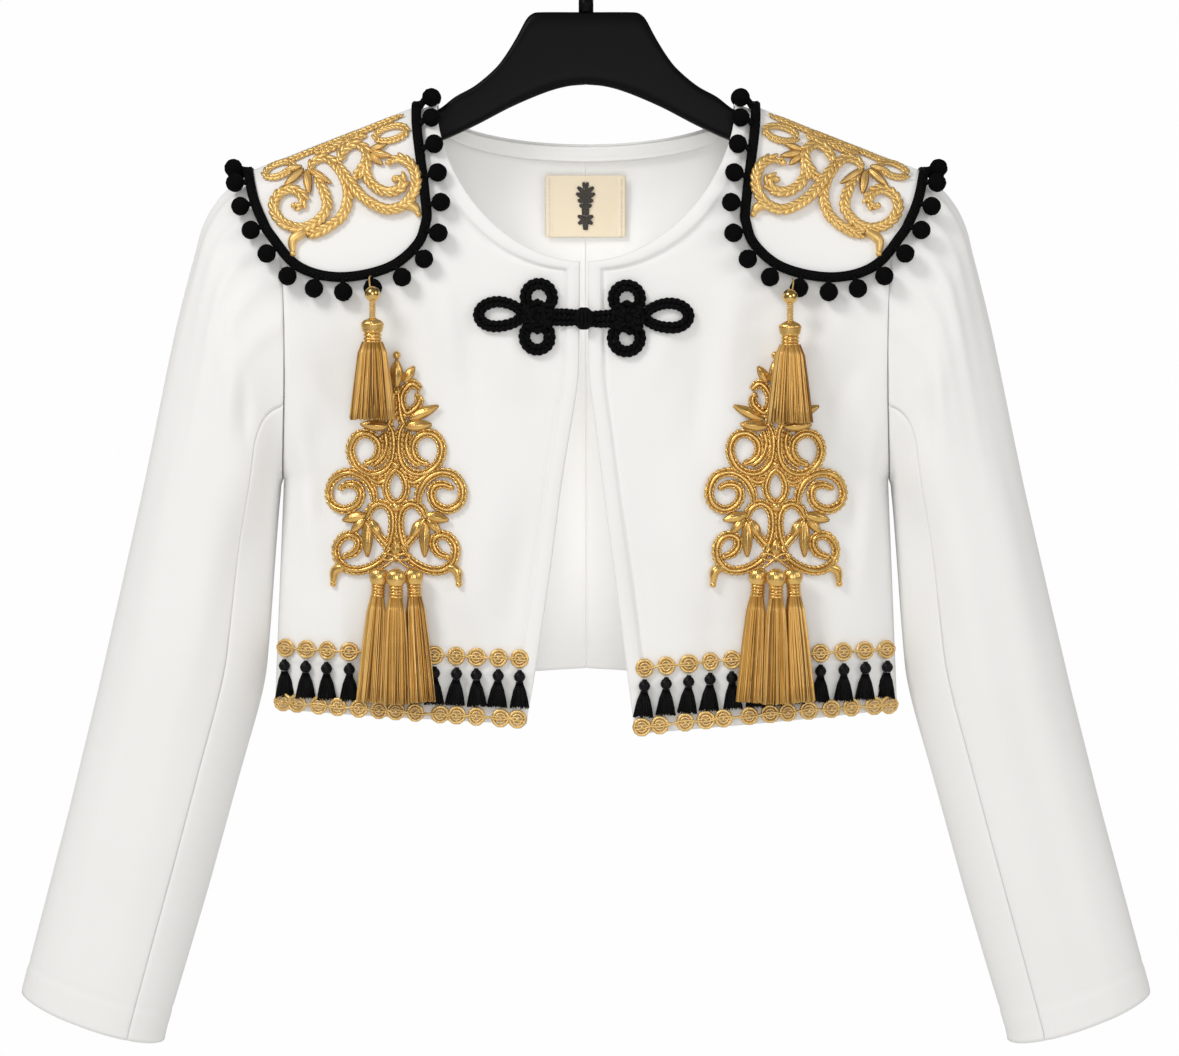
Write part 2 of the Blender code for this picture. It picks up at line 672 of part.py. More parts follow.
# Reach of the epaulette's scrolls below the ridge.  columns: share across, share down
FLAP_SCROLL = [(0.04, 0.45), (0.12, 0.62), (0.22, 0.66), (0.34, 0.60), (0.44, 0.42),
               (0.54, 0.62), (0.66, 0.74), (0.78, 0.74), (0.86, 0.55), (0.93, 0.25)]


def build_epaulette_scrolls():
    for side in SIGN:
        for face, name in ((-1, "front"), (1, "back")):
            grid = []
            for down in (0.1, 0.3, 0.55, 0.8, 1.0):
                row = []
                for across, reach in FLAP_SCROLL:
                    x, z = flap_outline(across, down * reach)
                    row.append(flap_point(side, x, z, face, STAND_OFF * 1.5 + SCROLL_THICK))
                grid.append(row)
            wall(f"epaulette_scroll_{name}_{side}", grid, SCROLL_THICK, "gold_cord",
                 (0, face, 0.3))


# ---- hem trim -----------------------------------------------------------------------
def rosette_row(side, row, along):
    """Front-view point of a row's middle line, along 0 at the side seam to 1."""
    first_x, last_x, first_z, last_z = ROSETTE_ROWS[(side, row)]
    dip = max(0.0, along) ** 1.4 if side == "right" else along
    return lerp(first_x, last_x, along), lerp(first_z, last_z, dip)


def build_rosette_braids():
    steps = 4
    for side, row in ROSETTE_ROWS:
        grid = [[], []]
        end = 0.32
        stations = [-end] + [k / steps for k in range((ROSETTES - 1) * steps + 1)]
        stations += [ROSETTES - 1 + end]
        for station in stations:
            beyond = station < 0 or station > ROSETTES - 1
            wave = 0.55 if beyond else 0.45 + 0.55 * abs(math.cos(math.pi * station))
            x, z = rosette_row(side, row, station / (ROSETTES - 1))
            for k, share in enumerate((1, -1)):
                height = z + share * wave * ROSETTE / 2
                point = shell_point(x, height, -1, STAND_OFF / 2 + ROSETTE_THICK)
                grid[k].append(mirrored(point, side))
        wall(f"rosette_braid_{row}_{side}", grid, ROSETTE_THICK, "gold_cord", (0, -1, 0))


def build_black_fringes():
    cap, head, neck, skirt = TASSEL_BLACK
    tape_off, top_off, end_off = FRINGE_OFF
    profile = [(0.0, cap), (4.0, head), (9.0, neck), (TASSEL_BLACK_DROP, skirt)]
    for side in SIGN:
        pieces = []
        tape = bmesh.new()
        path = []
        for k in range(ROSETTES * 2 - 1):
            x, z = rosette_row(side, "upper", k / (ROSETTES * 2 - 2))
            height = z - ROSETTE / 2 - TAPE_DROP
            path.append(mirrored(shell_point(x, height, -1, tape_off), side))
        tube_mesh(tape, path, TAPE_RADIUS, 4, up=lambda _: Vector((0, -1, 0)))
        pieces.append(tape)
        for k in range(ROSETTES):
            x, z = rosette_row(side, "upper", k / (ROSETTES - 1))
            start = z - ROSETTE / 2 - 0.6
            top = mirrored(shell_point(x, start, -1, top_off), side)
            low = mirrored(shell_point(x, start - TASSEL_BLACK_DROP, -1, end_off), side)
            bm = bmesh.new()
            turned(bm, profile, top, low - top, 6, 0.42)
            pieces.append(bm)
        united(f"black_tassel_fringe_{side}", pieces, "black_cord")


# ---- gold tassels -------------------------------------------------------------------
LONG_TASSEL = [(0.0, 2.0), (1.5, 4.6), (5.0, 6.2), (8.5, 5.2), (10.0, 4.9), (18.0, 4.9),
               (24.0, 5.6), (55.0, 7.6), (96.0, 8.9)]
SHORT_TASSEL = [(0.0, 1.6), (1.5, 5.2), (4.0, 7.2), (7.5, 6.4), (9.5, 6.4), (16.5, 6.6),
                (20.0, 7.8), (45.0, 12.0), (72.0, 16.2)]
BEAD_RADIUS = 5.5
STEM_RADIUS = 2.3
STEM_LENGTH = 11.0


def build_tassels():
    for side, sign in SIGN.items():
        for k in (-1, 0, 1):
            depth = -body_depth(TASSEL_X, TASSEL_TOP_Z)
            head_off, end_off, lower = TASSEL_OFF["middle" if k == 0 else "side"]
            top = Vector((sign * (TASSEL_X + k * TASSEL_SPREAD[0]), depth - head_off,
                          TASSEL_TOP_Z - lower))
            end = Vector((sign * (TASSEL_X + k * TASSEL_SPREAD[1]), depth - end_off,
                          top.z - LONG_TASSEL[-1][0]))
            bm = bmesh.new()
            turned(bm, LONG_TASSEL, top, end - top, 10, 0.70)
            place = {-1: "inner", 0: "middle", 1: "outer"}[k]
            add_object(f"long_tassel_{place}_{side}", bm, "gold_cord")
        x = EPAULETTE_TASSEL_X[side]
        z = EPAULETTE_TASSEL_Z[side]
        y = -body_depth(x, z) - POMPOM - BEAD_RADIUS - STAND_OFF
        bm = bmesh.new()
        stem = [(0.0, 1.6), (1.0, 3.6), (3.0, 5.1), (BEAD_RADIUS, BEAD_RADIUS),
                (8.0, 5.1), (10.0, 3.6), (11.2, STEM_RADIUS), (11.2 + STEM_LENGTH, STEM_RADIUS)]
        turned(bm, stem, Vector((sign * x, y, z + BEAD_RADIUS)), (0, 0, -1), 10)
        add_object(f"epaulette_bead_{side}", bm, "gold_bead")
        stem_end = z + BEAD_RADIUS - stem[-1][0]
        top = Vector((sign * x, y, stem_end - SEAM))
        bm = bmesh.new()
        turned(bm, SHORT_TASSEL, top, (0, 0.06, -1), 12, 0.62)
        add_object(f"epaulette_tassel_{side}", bm, "gold_cord")


# ---- frog closure -------------------------------------------------------------------
# Loops of each half.  columns: distance from MIDDLE_X, height above FROG_Z, half width,
# half height
FROG_LOOPS = [(33.0, 16.5, 9.4, 9.4), (33.6, -14.0, 9.4, 9.4), (58.5, 3.0, 15.0, 9.4)]
# Stem and knot between the loops.  columns: distance from MIDDLE_X, half width
FROG_STEM = [(9.6, 5.4), (14.0, 5.0), (20.0, 5.6), (26.0, 10.0), (34.0, 12.4), (40.0, 8.0)]
FROG_STEM_UP = 1.5
FROG_BALL = (6.9, 5.6, 8.2)   # half sizes along X, Y and Z
FROG_BALL_OFF = 6.2
FROG_CORD = 3.9       # radius of the doubled cord's tube
FROG_OFF = 4.6        # middle of the cord above the shell


def frog_point(side, out, up, off=FROG_OFF):
    x = MIDDLE_X + SIGN[side] * out
    point = shell_point(abs(x), FROG_Z + up, -1, off)
    return Vector((x, point.y, point.z))


def build_frog():
    for side in SIGN:
        pieces = []
        for out, up, wide, high in FROG_LOOPS:
            path = []
            for k in range(16):
                turn = 2 * math.pi * k / 16
                path.append(frog_point(side, out + wide * math.cos(turn),
                                       up + high * math.sin(turn)))
            bm = bmesh.new()
            tube_mesh(bm, path, FROG_CORD, 6, True, 0.62)
            pieces.append(bm)
        bm = bmesh.new()
        path = [frog_point(side, out, FROG_STEM_UP) for out, _ in FROG_STEM]
        tube_mesh(bm, path, lambda k: FROG_STEM[k][1], 8, flat=0.36)
        pieces.append(bm)
        united(f"frog_{side}", pieces, "black_cord")
    bm = bmesh.new()
    bmesh.ops.create_uvsphere(bm, u_segments=12, v_segments=8, radius=1.0)
    centre = frog_point("left", 0.0, 0.0, FROG_BALL_OFF)
    bmesh.ops.scale(bm, vec=FROG_BALL, verts=bm.verts)
    bmesh.ops.translate(bm, vec=centre, verts=bm.verts)
    add_object("frog_ball", bm, "black_cord")


# ---- hanger -------------------------------------------------------------------------
HANGER_TOP = [(0.0, -61.9), (33.0, -61.9), (38.5, -63.0), (43.0, -67.0), (50.0, -80.0),
              (58.0, -93.0), (66.0, -103.0), (80.0, -114.8), (94.0, -122.6),
              (104.0, -130.4), (114.0, -135.4), (150.0, -149.2), (188.0, -163.8),
              (192.5, -167.0)]
HANGER_BOTTOM = [(194.0, -173.0), (191.0, -179.0), (184.0, -181.0), (150.0, -170.0),
                 (122.0, -160.8), (100.0, -152.4), (79.0, -142.6), (54.0, -129.6),
                 (30.0, -119.4), (14.0, -114.8), (0.0, -113.4)]


def build_hanger():
    half = HANGER_TOP + HANGER_BOTTOM
    outline = half + [(-x, z) for x, z in reversed(half) if x > 0]
    bm = bmesh.new()
    front = [bm.verts.new((x, -HANGER_THICK / 2, z)) for x, z in outline]
    back = [bm.verts.new((x, HANGER_THICK / 2, z)) for x, z in outline]
    bm.faces.new(front)
    bm.faces.new(back)
    for k in range(len(outline)):
        n = (k + 1) % len(outline)
        bm.faces.new((front[k], front[n], back[n], back[k]))
    made = add_object("hanger_body", bm, "hanger")
    bevel = made.modifiers.new("soft_edges", "BEVEL")
    bevel.width = 2.2 * MM
    bevel.segments = 2
    bevel.limit_method = "ANGLE"
    bevel.angle_limit = math.radians(60)
    build_hook(HANGER_TOP[0][1] + SEAM)


def build_hook(foot_z):
    """Collar and hook, one bent rod; the rail bears at the origin, under the bend."""
    bend_z = -HOOK_BEND
    path = [Vector((0, 0, foot_z)), Vector((0, 0, foot_z + 9.0)),
            Vector((0, 0, foot_z + 10.5)), Vector((0.3, 0, foot_z + 14.0)),
            Vector((3.9, 0, foot_z + 18.8))]
    radii = [POST_RADIUS] * 2 + [HOOK_RADIUS] * 3
    reach = HOOK_BEND + HOOK_RADIUS
    for k in range(15):
        turn = math.radians(lerp(-60, 195, k / 14))
        path.append(Vector((reach * math.cos(turn), 0, bend_z + reach * math.sin(turn))))
        radii.append(HOOK_RADIUS)
    bm = bmesh.new()
    tube_mesh(bm, path, lambda k: radii[k], 10, up=lambda _: Vector((0, -1, 0)))
    add_object("hanger_hook", bm, "hanger")


def clear_scene():
    for old in list(bpy.data.objects):
        bpy.data.objects.remove(old)


def main():
    clear_scene()
    build_body()
    build_sleeves()
    build_neck_facing()
    build_label()
    build_epaulettes()
    build_pompom_trims()
    build_scroll_motifs()
    build_epaulette_scrolls()
    build_rosette_braids()
    build_black_fringes()
    build_tassels()
    build_frog()
    build_hanger()


main()
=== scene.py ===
"""Looks of the matador jacket on its hanger.

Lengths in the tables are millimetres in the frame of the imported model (origin under the
hook's bend, +Z up, the front at -Y), and MM turns them into metres.  The camera, the
lights, the floor and the flat sizes of the sheets are in metres.
"""
import math
import random

import bmesh
import bpy
import numpy as np
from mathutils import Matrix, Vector, noise


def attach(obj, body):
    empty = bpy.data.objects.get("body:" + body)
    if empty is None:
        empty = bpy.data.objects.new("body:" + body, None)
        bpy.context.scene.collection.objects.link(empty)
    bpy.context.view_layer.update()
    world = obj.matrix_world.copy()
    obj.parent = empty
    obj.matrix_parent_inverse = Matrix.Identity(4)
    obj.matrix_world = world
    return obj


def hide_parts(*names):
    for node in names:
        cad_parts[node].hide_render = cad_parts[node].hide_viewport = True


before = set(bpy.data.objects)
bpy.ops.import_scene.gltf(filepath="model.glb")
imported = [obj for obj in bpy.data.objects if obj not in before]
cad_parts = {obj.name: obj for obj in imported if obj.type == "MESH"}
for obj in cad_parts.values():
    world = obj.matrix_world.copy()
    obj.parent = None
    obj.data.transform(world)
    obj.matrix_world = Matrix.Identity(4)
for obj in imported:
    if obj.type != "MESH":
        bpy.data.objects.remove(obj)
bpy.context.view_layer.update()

MM = 0.001
SIGN = {"left": -1, "right": 1}
PLACE = {-1: "front", 1: "back"}

# ---- the jacket's own sizes, as its solids have them ----------------------------------
SEAM = 0.3
WALL = 1.6
NECK_X, NECK_Z = 107.0, -127.0
SHOULDER_SLOPE = 0.39
SHOULDER_X = 223.0
PIT_X, PIT_Z = 217.5, -398.0
ARMHOLE_BOW = 6.0
ARMHOLE_GAP = 0.3
CHEST_DEPTH, ARMHOLE_DEPTH = 47.0, 44.0
HEM_TAPER = 0.10
SIDE_ROUND = 6.0
SIDE_HEM_X, SIDE_HEM_Z = 224.0, -562.0
BACK_HEM_RISE = 27.0
BACK_NECK_DROP = 27.0
FRONT_NECK_DROP = 117.0
FRONT_NECK_POWER = 1.85
CF_TOP_Z = NECK_Z - FRONT_NECK_DROP
FACING_WIDTH, FACING_REACH = 11.0, 102.0
FACING_OFF, FACING_WALL = 1.9, 1.2
LABEL_WALL, LABEL_OFF = 1.0, 3.0
MIDDLE_X = -1.5
FRONT_NECK_SHARE, BACK_NECK_SHARE, PIT_SHARE = 0.44, 0.34, 0.60
FRONT_EDGE = {        # height z, distance from MIDDLE_X
    "left": [(CF_TOP_Z, 2.6), (-327.0, 3.4), (-350.0, 7.2), (-400.0, 15.6),
             (-459.0, 23.0), (-533.0, 34.0), (-572.0, 41.0)],
    "right": [(CF_TOP_Z, 2.6), (-327.0, 3.4), (-358.0, 7.8), (-420.0, 15.4),
              (-491.0, 25.2), (-534.0, 30.4), (-579.0, 36.2)],
}
# outer point's height, inner point's height, half the depth
SLEEVE_SECTIONS = [
    (-172.2, -398.0, 44.0), (-182.0, -400.0, 44.4), (-197.0, -402.5, 45.6),
    (-219.0, -405.5, 46.5), (-250.0, -409.5, 46.5), (-288.0, -416.0, 45.0),
    (-340.0, -431.0, 42.5), (-402.0, -462.0, 40.0), (-478.0, -518.0, 37.5),
    (-560.0, -591.0, 34.5), (-655.0, -684.0, 31.0), (-766.0, -800.5, 27.0),
]
SLEEVE_OUTER = [(-172.2, 223.0), (-182.0, 245.0), (-190.0, 257.5), (-204.5, 269.0),
                (-219.0, 276.0), (-250.0, 284.0), (-291.0, 293.5), (-406.0, 318.5),
                (-550.0, 351.0), (-636.5, 372.0), (-723.0, 394.6), (-766.0, 406.0)]
SLEEVE_INNER = [(-398.0, 217.5), (-420.0, 219.6), (-460.0, 222.6), (-500.0, 225.4),
                (-538.0, 228.6), (-560.0, 233.5), (-607.0, 247.0), (-694.0, 271.0),
                (-751.0, 288.0), (-800.5, 303.0)]
SLEEVE_CLEAR = 1.2
OUTER_TRIM = {"left": 0.0, "right": 3.5}
CUFF_SAG = 8.0
FRONT_SLEEVE_SEAM, BACK_SLEEVE_SEAM = 122.0, 245.0
FLAP_INNER = [(121.7, -132.7), (120.5, -153.0), (115.5, -188.0), (112.3, -214.6)]
FLAP_BOTTOM = [(112.3, -214.6), (119.0, -232.5), (140.0, -249.0), (175.0, -256.0),
               (205.0, -248.5), (226.8, -224.6)]
FLAP_OUTER = [(243.0, -180.0), (236.0, -205.0), (226.8, -224.6)]
FLAP_OFF = 3.6
FLAP_WALL = 2.0
FLAP_LIFT, FLAP_LIFT_X = 0.14, 204.0

TOP_Z = NECK_Z - SHOULDER_SLOPE * (SHOULDER_X - NECK_X)
MID_Z = (TOP_Z + PIT_Z) / 2
HALF_HEIGHT = (TOP_Z - PIT_Z) / 2


# ---- numbers and curves ----------------------------------------------------------------
def clamp(value, low=0.0, high=1.0):
    return np.minimum(high, np.maximum(low, value))


def lerp(a, b, t):
    return a + (b - a) * t


def smooth(value):
    t = clamp(value)
    return t * t * (3 - 2 * t)


def table(rows, key):
    """Second column of a table at key, on a straight line between its rows."""
    keys = [row[0] for row in rows]
    values = [row[1] for row in rows]
    if keys[0] > keys[-1]:
        keys, values = keys[::-1], values[::-1]
    return np.interp(key, keys, values)


def soft_table(rows, key, reach=6.0):
    """table, averaged over reach each way so that the line it gives is smooth."""
    return sum(table(rows, key + k * reach / 2) for k in (-2, -1, 0, 1, 2)) / 5


def spline(points, t):
    """Catmull-Rom curve through the points, with t an array from 0 to 1."""
    points = np.asarray(points, float)
    padded = np.vstack([2 * points[0] - points[1], points, 2 * points[-1] - points[-2]])
    at = clamp(np.asarray(t, float)) * (len(points) - 1)
    k = np.minimum(at.astype(int), len(points) - 2)
    f = (at - k)[..., None]
    a, b, c, d = (padded[k + n] for n in range(4))
    return 0.5 * (2 * b + (c - a) * f + (2 * a - 5 * b + 4 * c - d) * f ** 2
                  + (3 * b - a - 3 * c + d) * f ** 3)


def even(points, step):
    """The same line with points a given step apart."""
    points = np.asarray(points, float)
    lengths = np.concatenate([[0], np.cumsum(np.linalg.norm(np.diff(points, axis=0),
                                                            axis=1))])
    count = max(2, int(round(lengths[-1] / step)) + 1)
    want = np.linspace(0, lengths[-1], count)
    return np.stack([np.interp(want, lengths, points[:, k])
                     for k in range(points.shape[1])], axis=1)


def even_loop(points, step):
    """Points a given step apart on the closed line through the given ones."""
    return even(np.vstack([points, points[:1]]), step)[:-1]


def curve(points, step=1.0):
    """Even points along the smooth line through the given ones."""
    return even(spline(points, np.linspace(0, 1, 40 * len(points))), step)


def full_turn(count):
    """Angles of count even steps round a circle."""
    return 2 * math.pi * np.arange(count) / count


def oval(x, z, wide, tall, lean, count):
    """Points of an oval about (x, z) whose long axis rises by lean degrees."""
    turn = full_turn(count)
    a = math.radians(lean)
    return np.stack([x + wide * np.cos(turn) * math.cos(a) - tall * np.sin(turn) * math.sin(a),
                     z + wide * np.cos(turn) * math.sin(a) + tall * np.sin(turn) * math.cos(a)],
                    axis=1)


def unit(vectors):
    """The same vectors, each of length 1."""
    return vectors / np.maximum(np.linalg.norm(vectors, axis=-1, keepdims=True), 1e-9)


# ---- meshes ----------------------------------------------------------------------------
SIDE_UP = (0.03, -1.0, 0.02)     # out of the surface, where a tube is told nothing else


class Shape:
    """Vertices and faces gathered in millimetres, then made into one object."""

    def __init__(self):
        self.points = []
        self.faces = []
        self.slots = []
        self.count = 0

    def add(self, points, faces, slot=0):
        points = np.asarray(points, float)
        self.points.append(points)
        self.faces.extend([tuple(int(v) + self.count for v in face) for face in faces])
        self.slots.extend([slot] * len(faces))
        self.count += len(points)

    def make(self, name, materials, nodes=()):
        mesh = bpy.data.meshes.new(name)
        mesh.from_pydata((np.vstack(self.points) * MM).tolist(), [], self.faces)
        for material in materials:
            mesh.materials.append(material)
        mesh.polygons.foreach_set("material_index", self.slots)
        mesh.polygons.foreach_set("use_smooth", [True] * len(self.faces))
        sides = bmesh.new()
        sides.from_mesh(mesh)
        bmesh.ops.recalc_face_normals(sides, faces=sides.faces)
        sides.to_mesh(mesh)
        sides.free()
        made = bpy.data.objects.new(name, mesh)
        bpy.context.scene.collection.objects.link(made)
        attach(made, "root")
        if nodes:
            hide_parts(*nodes)
        return made


def grid_faces(rows, columns, wrap=False):
    """Four-sided faces between rows of points, round again to the first if wrapped."""
    faces = []
    for i in range(rows - 1):
        for j in range(columns if wrap else columns - 1):
            n = (j + 1) % columns
            faces.append((i * columns + j, i * columns + n,
                          (i + 1) * columns + n, (i + 1) * columns + j))
    return faces


def capped_faces(rows, sides):
    """Faces of a round body made of rows of rings, both ends closed."""
    faces = grid_faces(rows, sides, True)
    faces.append(tuple(range(sides))[::-1])
    faces.append(tuple((rows - 1) * sides + s for s in range(sides)))
    return faces


def surface_normals(grid):
    """Directions square to a grid of points."""
    down = np.gradient(grid, axis=0)
    across = np.gradient(grid, axis=1)
    return unit(np.cross(across, down))


def wall(shape, grid, thickness, outward, pin=None):
    """Closed cloth wall with rounded edges, its outer face on the grid."""
    normal = surface_normals(grid)
    middle = normal[normal.shape[0] // 2, normal.shape[1] // 2]
    flip = 1 if middle @ np.asarray(outward, float) > 0 else -1
    normal = normal * flip
    if pin is not None:
        normal = unit(normal * pin)
    rows, columns = grid.shape[:2]
    inner = grid - normal * thickness
    faces = grid_faces(rows, columns)
    if flip > 0:
        faces = [face[::-1] for face in faces]
    count = rows * columns
    points = np.concatenate([grid.reshape(-1, 3), inner.reshape(-1, 3)])
    faces = faces + [tuple(v + count for v in face[::-1]) for face in faces]
    rim = ([(0, j) for j in range(columns)] + [(i, columns - 1) for i in range(1, rows)]
           + [(rows - 1, j) for j in range(columns - 2, -1, -1)]
           + [(i, 0) for i in range(rows - 2, 0, -1)])
    ring = [i * columns + j for i, j in rim]
    away = []
    for i, j in rim:
        inside = grid[min(max(i, 1), rows - 2), min(max(j, 1), columns - 2)]
        out = grid[i, j] - inside
        size = np.linalg.norm(out)
        bulge = min(0.2 * thickness, 0.5 * size) / max(size, 1e-9)
        away.append((grid[i, j] + inner[i, j]) / 2 + out * bulge)
    if pin is not None:
        for k, (i, j) in enumerate(rim):
            if np.prod(pin[i, j]) == 0:
                away[k] = (grid[i, j] + inner[i, j]) / 2
    start = 2 * count
    points = np.concatenate([points, np.array(away)])
    total = len(ring)
    edge = []
    for k in range(total):
        n = (k + 1) % total
        a, b = ring[k], ring[n]
        edge.append((a, b, start + n, start + k))
        edge.append((start + k, start + n, b + count, a + count))
    if flip > 0:
        edge = [face[::-1] for face in edge]
    shape.add(points, [face[::-1] for face in faces + edge])


def path_frame(path, up, closed=False):
    """Directions along, across and out of a path that lies on a surface."""
    if closed:
        along = unit(np.roll(path, -1, axis=0) - np.roll(path, 1, axis=0))
    else:
        along = unit(np.gradient(path, axis=0))
    across = unit(np.cross(along, np.broadcast_to(up, path.shape)))
    return along, across, np.cross(across, along)


def tube(shape, path, radius, sides=6, closed=False, flat=1.0, up=SIDE_UP, slot=0):
    """Round or flattened tube along a path; radius and up may change along it."""
    path = np.asarray(path, float)
    count = len(path)
    _, across, lift = path_frame(path, up, closed)
    radius = np.broadcast_to(np.asarray(radius, float), (count,))[:, None, None]
    turn = full_turn(sides)
    ring = (across[:, None] * np.cos(turn)[None, :, None]
            + lift[:, None] * flat * np.sin(turn)[None, :, None])
    points = (path[:, None] + ring * radius).reshape(-1, 3)
    if closed:
        last = (count - 1) * sides
        faces = grid_faces(count, sides, True)
        faces += [(last + s, last + (s + 1) % sides, (s + 1) % sides, s)
                  for s in range(sides)]
    else:
        faces = capped_faces(count, sides)
    shape.add(points, [face[::-1] for face in faces], slot)


def plait(shape, path, up, width, thick, strand, pitch):
    """Three strands plaited over and under each other along a closed path."""
    _, across, lift = path_frame(path, up, True)
    step = np.linalg.norm(path[1] - path[0])
    phase = full_turn(len(path)) * max(1, round(len(path) * step / pitch))
    for start in full_turn(3):
        turn = (phase + start)[:, None]
        line = path + across * np.sin(turn) * width + lift * np.sin(2 * turn) * thick
        tube(shape, line, strand, 5, True, up=lift)


def twist(shape, path, up, radius, strand, pitch, closed=False, sides=6):
    """Two strands twisted round each other along a path."""
    _, across, lift = path_frame(path, up, closed)
    step = np.linalg.norm(path[1] - path[0])
    phase = full_turn(len(path)) * max(1, round(len(path) * step / pitch))
    for start in (0, math.pi):
        turn = (phase + start)[:, None]
        line = path + (across * np.cos(turn) + lift * np.sin(turn)) * radius
        tube(shape, line, strand, sides, closed, up=lift)


def tassel_axes(lean):
    """Directions along, across and through a tassel or another turned body."""
    along = np.asarray(lean, float) / np.linalg.norm(lean)
    across = unit(np.cross([0, 1, 0], along))
    return along, across, np.cross(along, across)


def turned(shape, profile, top, lean=(0, 0, -1), sides=24, flat=1.0, slot=0):
    """Body turned about the line from top along lean; profile rows are drop, radius."""
    along, across, deep = tassel_axes(lean)
    turn = full_turn(sides)[:, None]
    ring = across * np.cos(turn) + deep * flat * np.sin(turn)
    points = [np.asarray(top) + along * drop + ring * radius for drop, radius in profile]
    shape.add(np.concatenate(points), capped_faces(len(profile), sides), slot)


def ball_grid(rings, sides):
    """Points and faces of a ball of radius 1."""
    polar = math.pi * (np.arange(rings) + 0.5) / rings
    turn = full_turn(sides)
    points = np.stack([np.sin(polar)[:, None] * np.cos(turn),
                       np.sin(polar)[:, None] * np.sin(turn),
                       np.cos(polar)[:, None] * np.ones(sides)], axis=2).reshape(-1, 3)
    return points, [face[::-1] for face in capped_faces(rings, sides)]


def ball(shape, centre, size, rings=10, sides=16):
    """Ball, or egg when size holds three radii."""
    points, faces = ball_grid(rings, sides)
    shape.add(np.asarray(centre) + points * np.asarray(size), faces)


# ---- materials -------------------------------------------------------------------------
def new_material(name, colour, roughness, metallic=0.0, sheen=0.0, coat=0.0, specular=0.5):
    """A material with its node tree and its shader."""
    made = bpy.data.materials.new(name)
    made.use_nodes = True
    shader = made.node_tree.nodes["Principled BSDF"]
    shader.inputs["Base Color"].default_value = (*colour, 1.0)
    shader.inputs["Roughness"].default_value = roughness
    shader.inputs["Metallic"].default_value = metallic
    shader.inputs["Sheen Weight"].default_value = sheen
    shader.inputs["Sheen Roughness"].default_value = 0.5
    shader.inputs["Coat Weight"].default_value = coat
    shader.inputs["Specular IOR Level"].default_value = specular
    return made, made.node_tree, shader


def add_node(tree, kind, **values):
    """A new node with its inputs and its own settings."""
    made = tree.nodes.new(kind)
    for key, value in values.items():
        if key in made.inputs:
            made.inputs[key].default_value = value
        else:
            setattr(made, key, value)
    return made


def object_coordinates(tree):
    """Where on the piece itself a shading point lies."""
    return add_node(tree, "ShaderNodeTexCoord").outputs["Object"]


def mixed_colours(tree, shader, factor, dark, light):
    """Colour that runs from dark to light with the factor."""
    ramp = add_node(tree, "ShaderNodeValToRGB")
    ramp.color_ramp.elements[0].color = (*dark, 1.0)
    ramp.color_ramp.elements[1].color = (*light, 1.0)
    tree.links.new(factor, ramp.inputs["Fac"])
    tree.links.new(ramp.outputs["Color"], shader.inputs["Base Color"])


def bump(tree, shader, height, strength, distance):
    """Fine relief of the surface."""
    made = add_node(tree, "ShaderNodeBump", Strength=strength, Distance=distance)
    tree.links.new(height, made.inputs["Height"])
    tree.links.new(made.outputs["Normal"], shader.inputs["Normal"])


def cloth_material(name, dark, light, roughness=0.82):
    """Crepe: fine crossed threads, a pebbly grain and a faint unevenness of tone."""
    made, tree, shader = new_material(name, light, roughness, sheen=0.12, specular=0.25)
    where = object_coordinates(tree)
    warp = add_node(tree, "ShaderNodeTexWave", Scale=620.0, Distortion=0.6)
    warp.bands_direction = "X"
    weft = add_node(tree, "ShaderNodeTexWave", Scale=620.0, Distortion=0.6)
    weft.bands_direction = "Z"
    grain = add_node(tree, "ShaderNodeTexNoise", Scale=900.0, Detail=3.0)
    tone = add_node(tree, "ShaderNodeTexNoise", Scale=14.0, Detail=4.0)
    for texture in (warp, weft, grain, tone):
        tree.links.new(where, texture.inputs["Vector"])
    crossed = add_node(tree, "ShaderNodeMath", operation="ADD")
    tree.links.new(warp.outputs["Fac"], crossed.inputs[0])
    tree.links.new(weft.outputs["Fac"], crossed.inputs[1])
    pebble = add_node(tree, "ShaderNodeMath", operation="MULTIPLY_ADD")
    pebble.inputs[1].default_value = 1.6
    tree.links.new(grain.outputs["Fac"], pebble.inputs[0])
    tree.links.new(crossed.outputs[0], pebble.inputs[2])
    bump(tree, shader, pebble.outputs[0], 0.10, 0.0004)
    mixed_colours(tree, shader, tone.outputs["Fac"], dark, light)
    return made


def thread_material(name, dark, light, roughness, scale, metallic=0.0, specular=0.5,
                    sheen=0.0):
    """Cord or thread: fine wrapped fibres whose tone changes from strand to strand."""
    made, tree, shader = new_material(name, light, roughness, metallic, sheen,
                                      specular=specular)
    where = object_coordinates(tree)
    fibre = add_node(tree, "ShaderNodeTexNoise", Scale=scale, Detail=4.0)
    tone = add_node(tree, "ShaderNodeTexNoise", Scale=scale / 6, Detail=3.0)
    for texture in (fibre, tone):
        tree.links.new(where, texture.inputs["Vector"])
    bump(tree, shader, fibre.outputs["Fac"], 0.35, 0.0004)
    mixed_colours(tree, shader, tone.outputs["Fac"], dark, light)
    return made


def plain_material(name, colour, roughness, metallic=0.0, coat=0.0, grain=300.0,
                   strength=0.05, specular=0.5):
    """Metal or plastic with a fine grain."""
    made, tree, shader = new_material(name, colour, roughness, metallic, coat=coat,
                                      specular=specular)
    where = object_coordinates(tree)
    fine = add_node(tree, "ShaderNodeTexNoise", Scale=grain, Detail=3.0)
    tree.links.new(where, fine.inputs["Vector"])
    bump(tree, shader, fine.outputs["Fac"], strength, 0.0003)
    mixed_colours(tree, shader, fine.outputs["Fac"], tuple(0.8 * c for c in colour), colour)
    return made


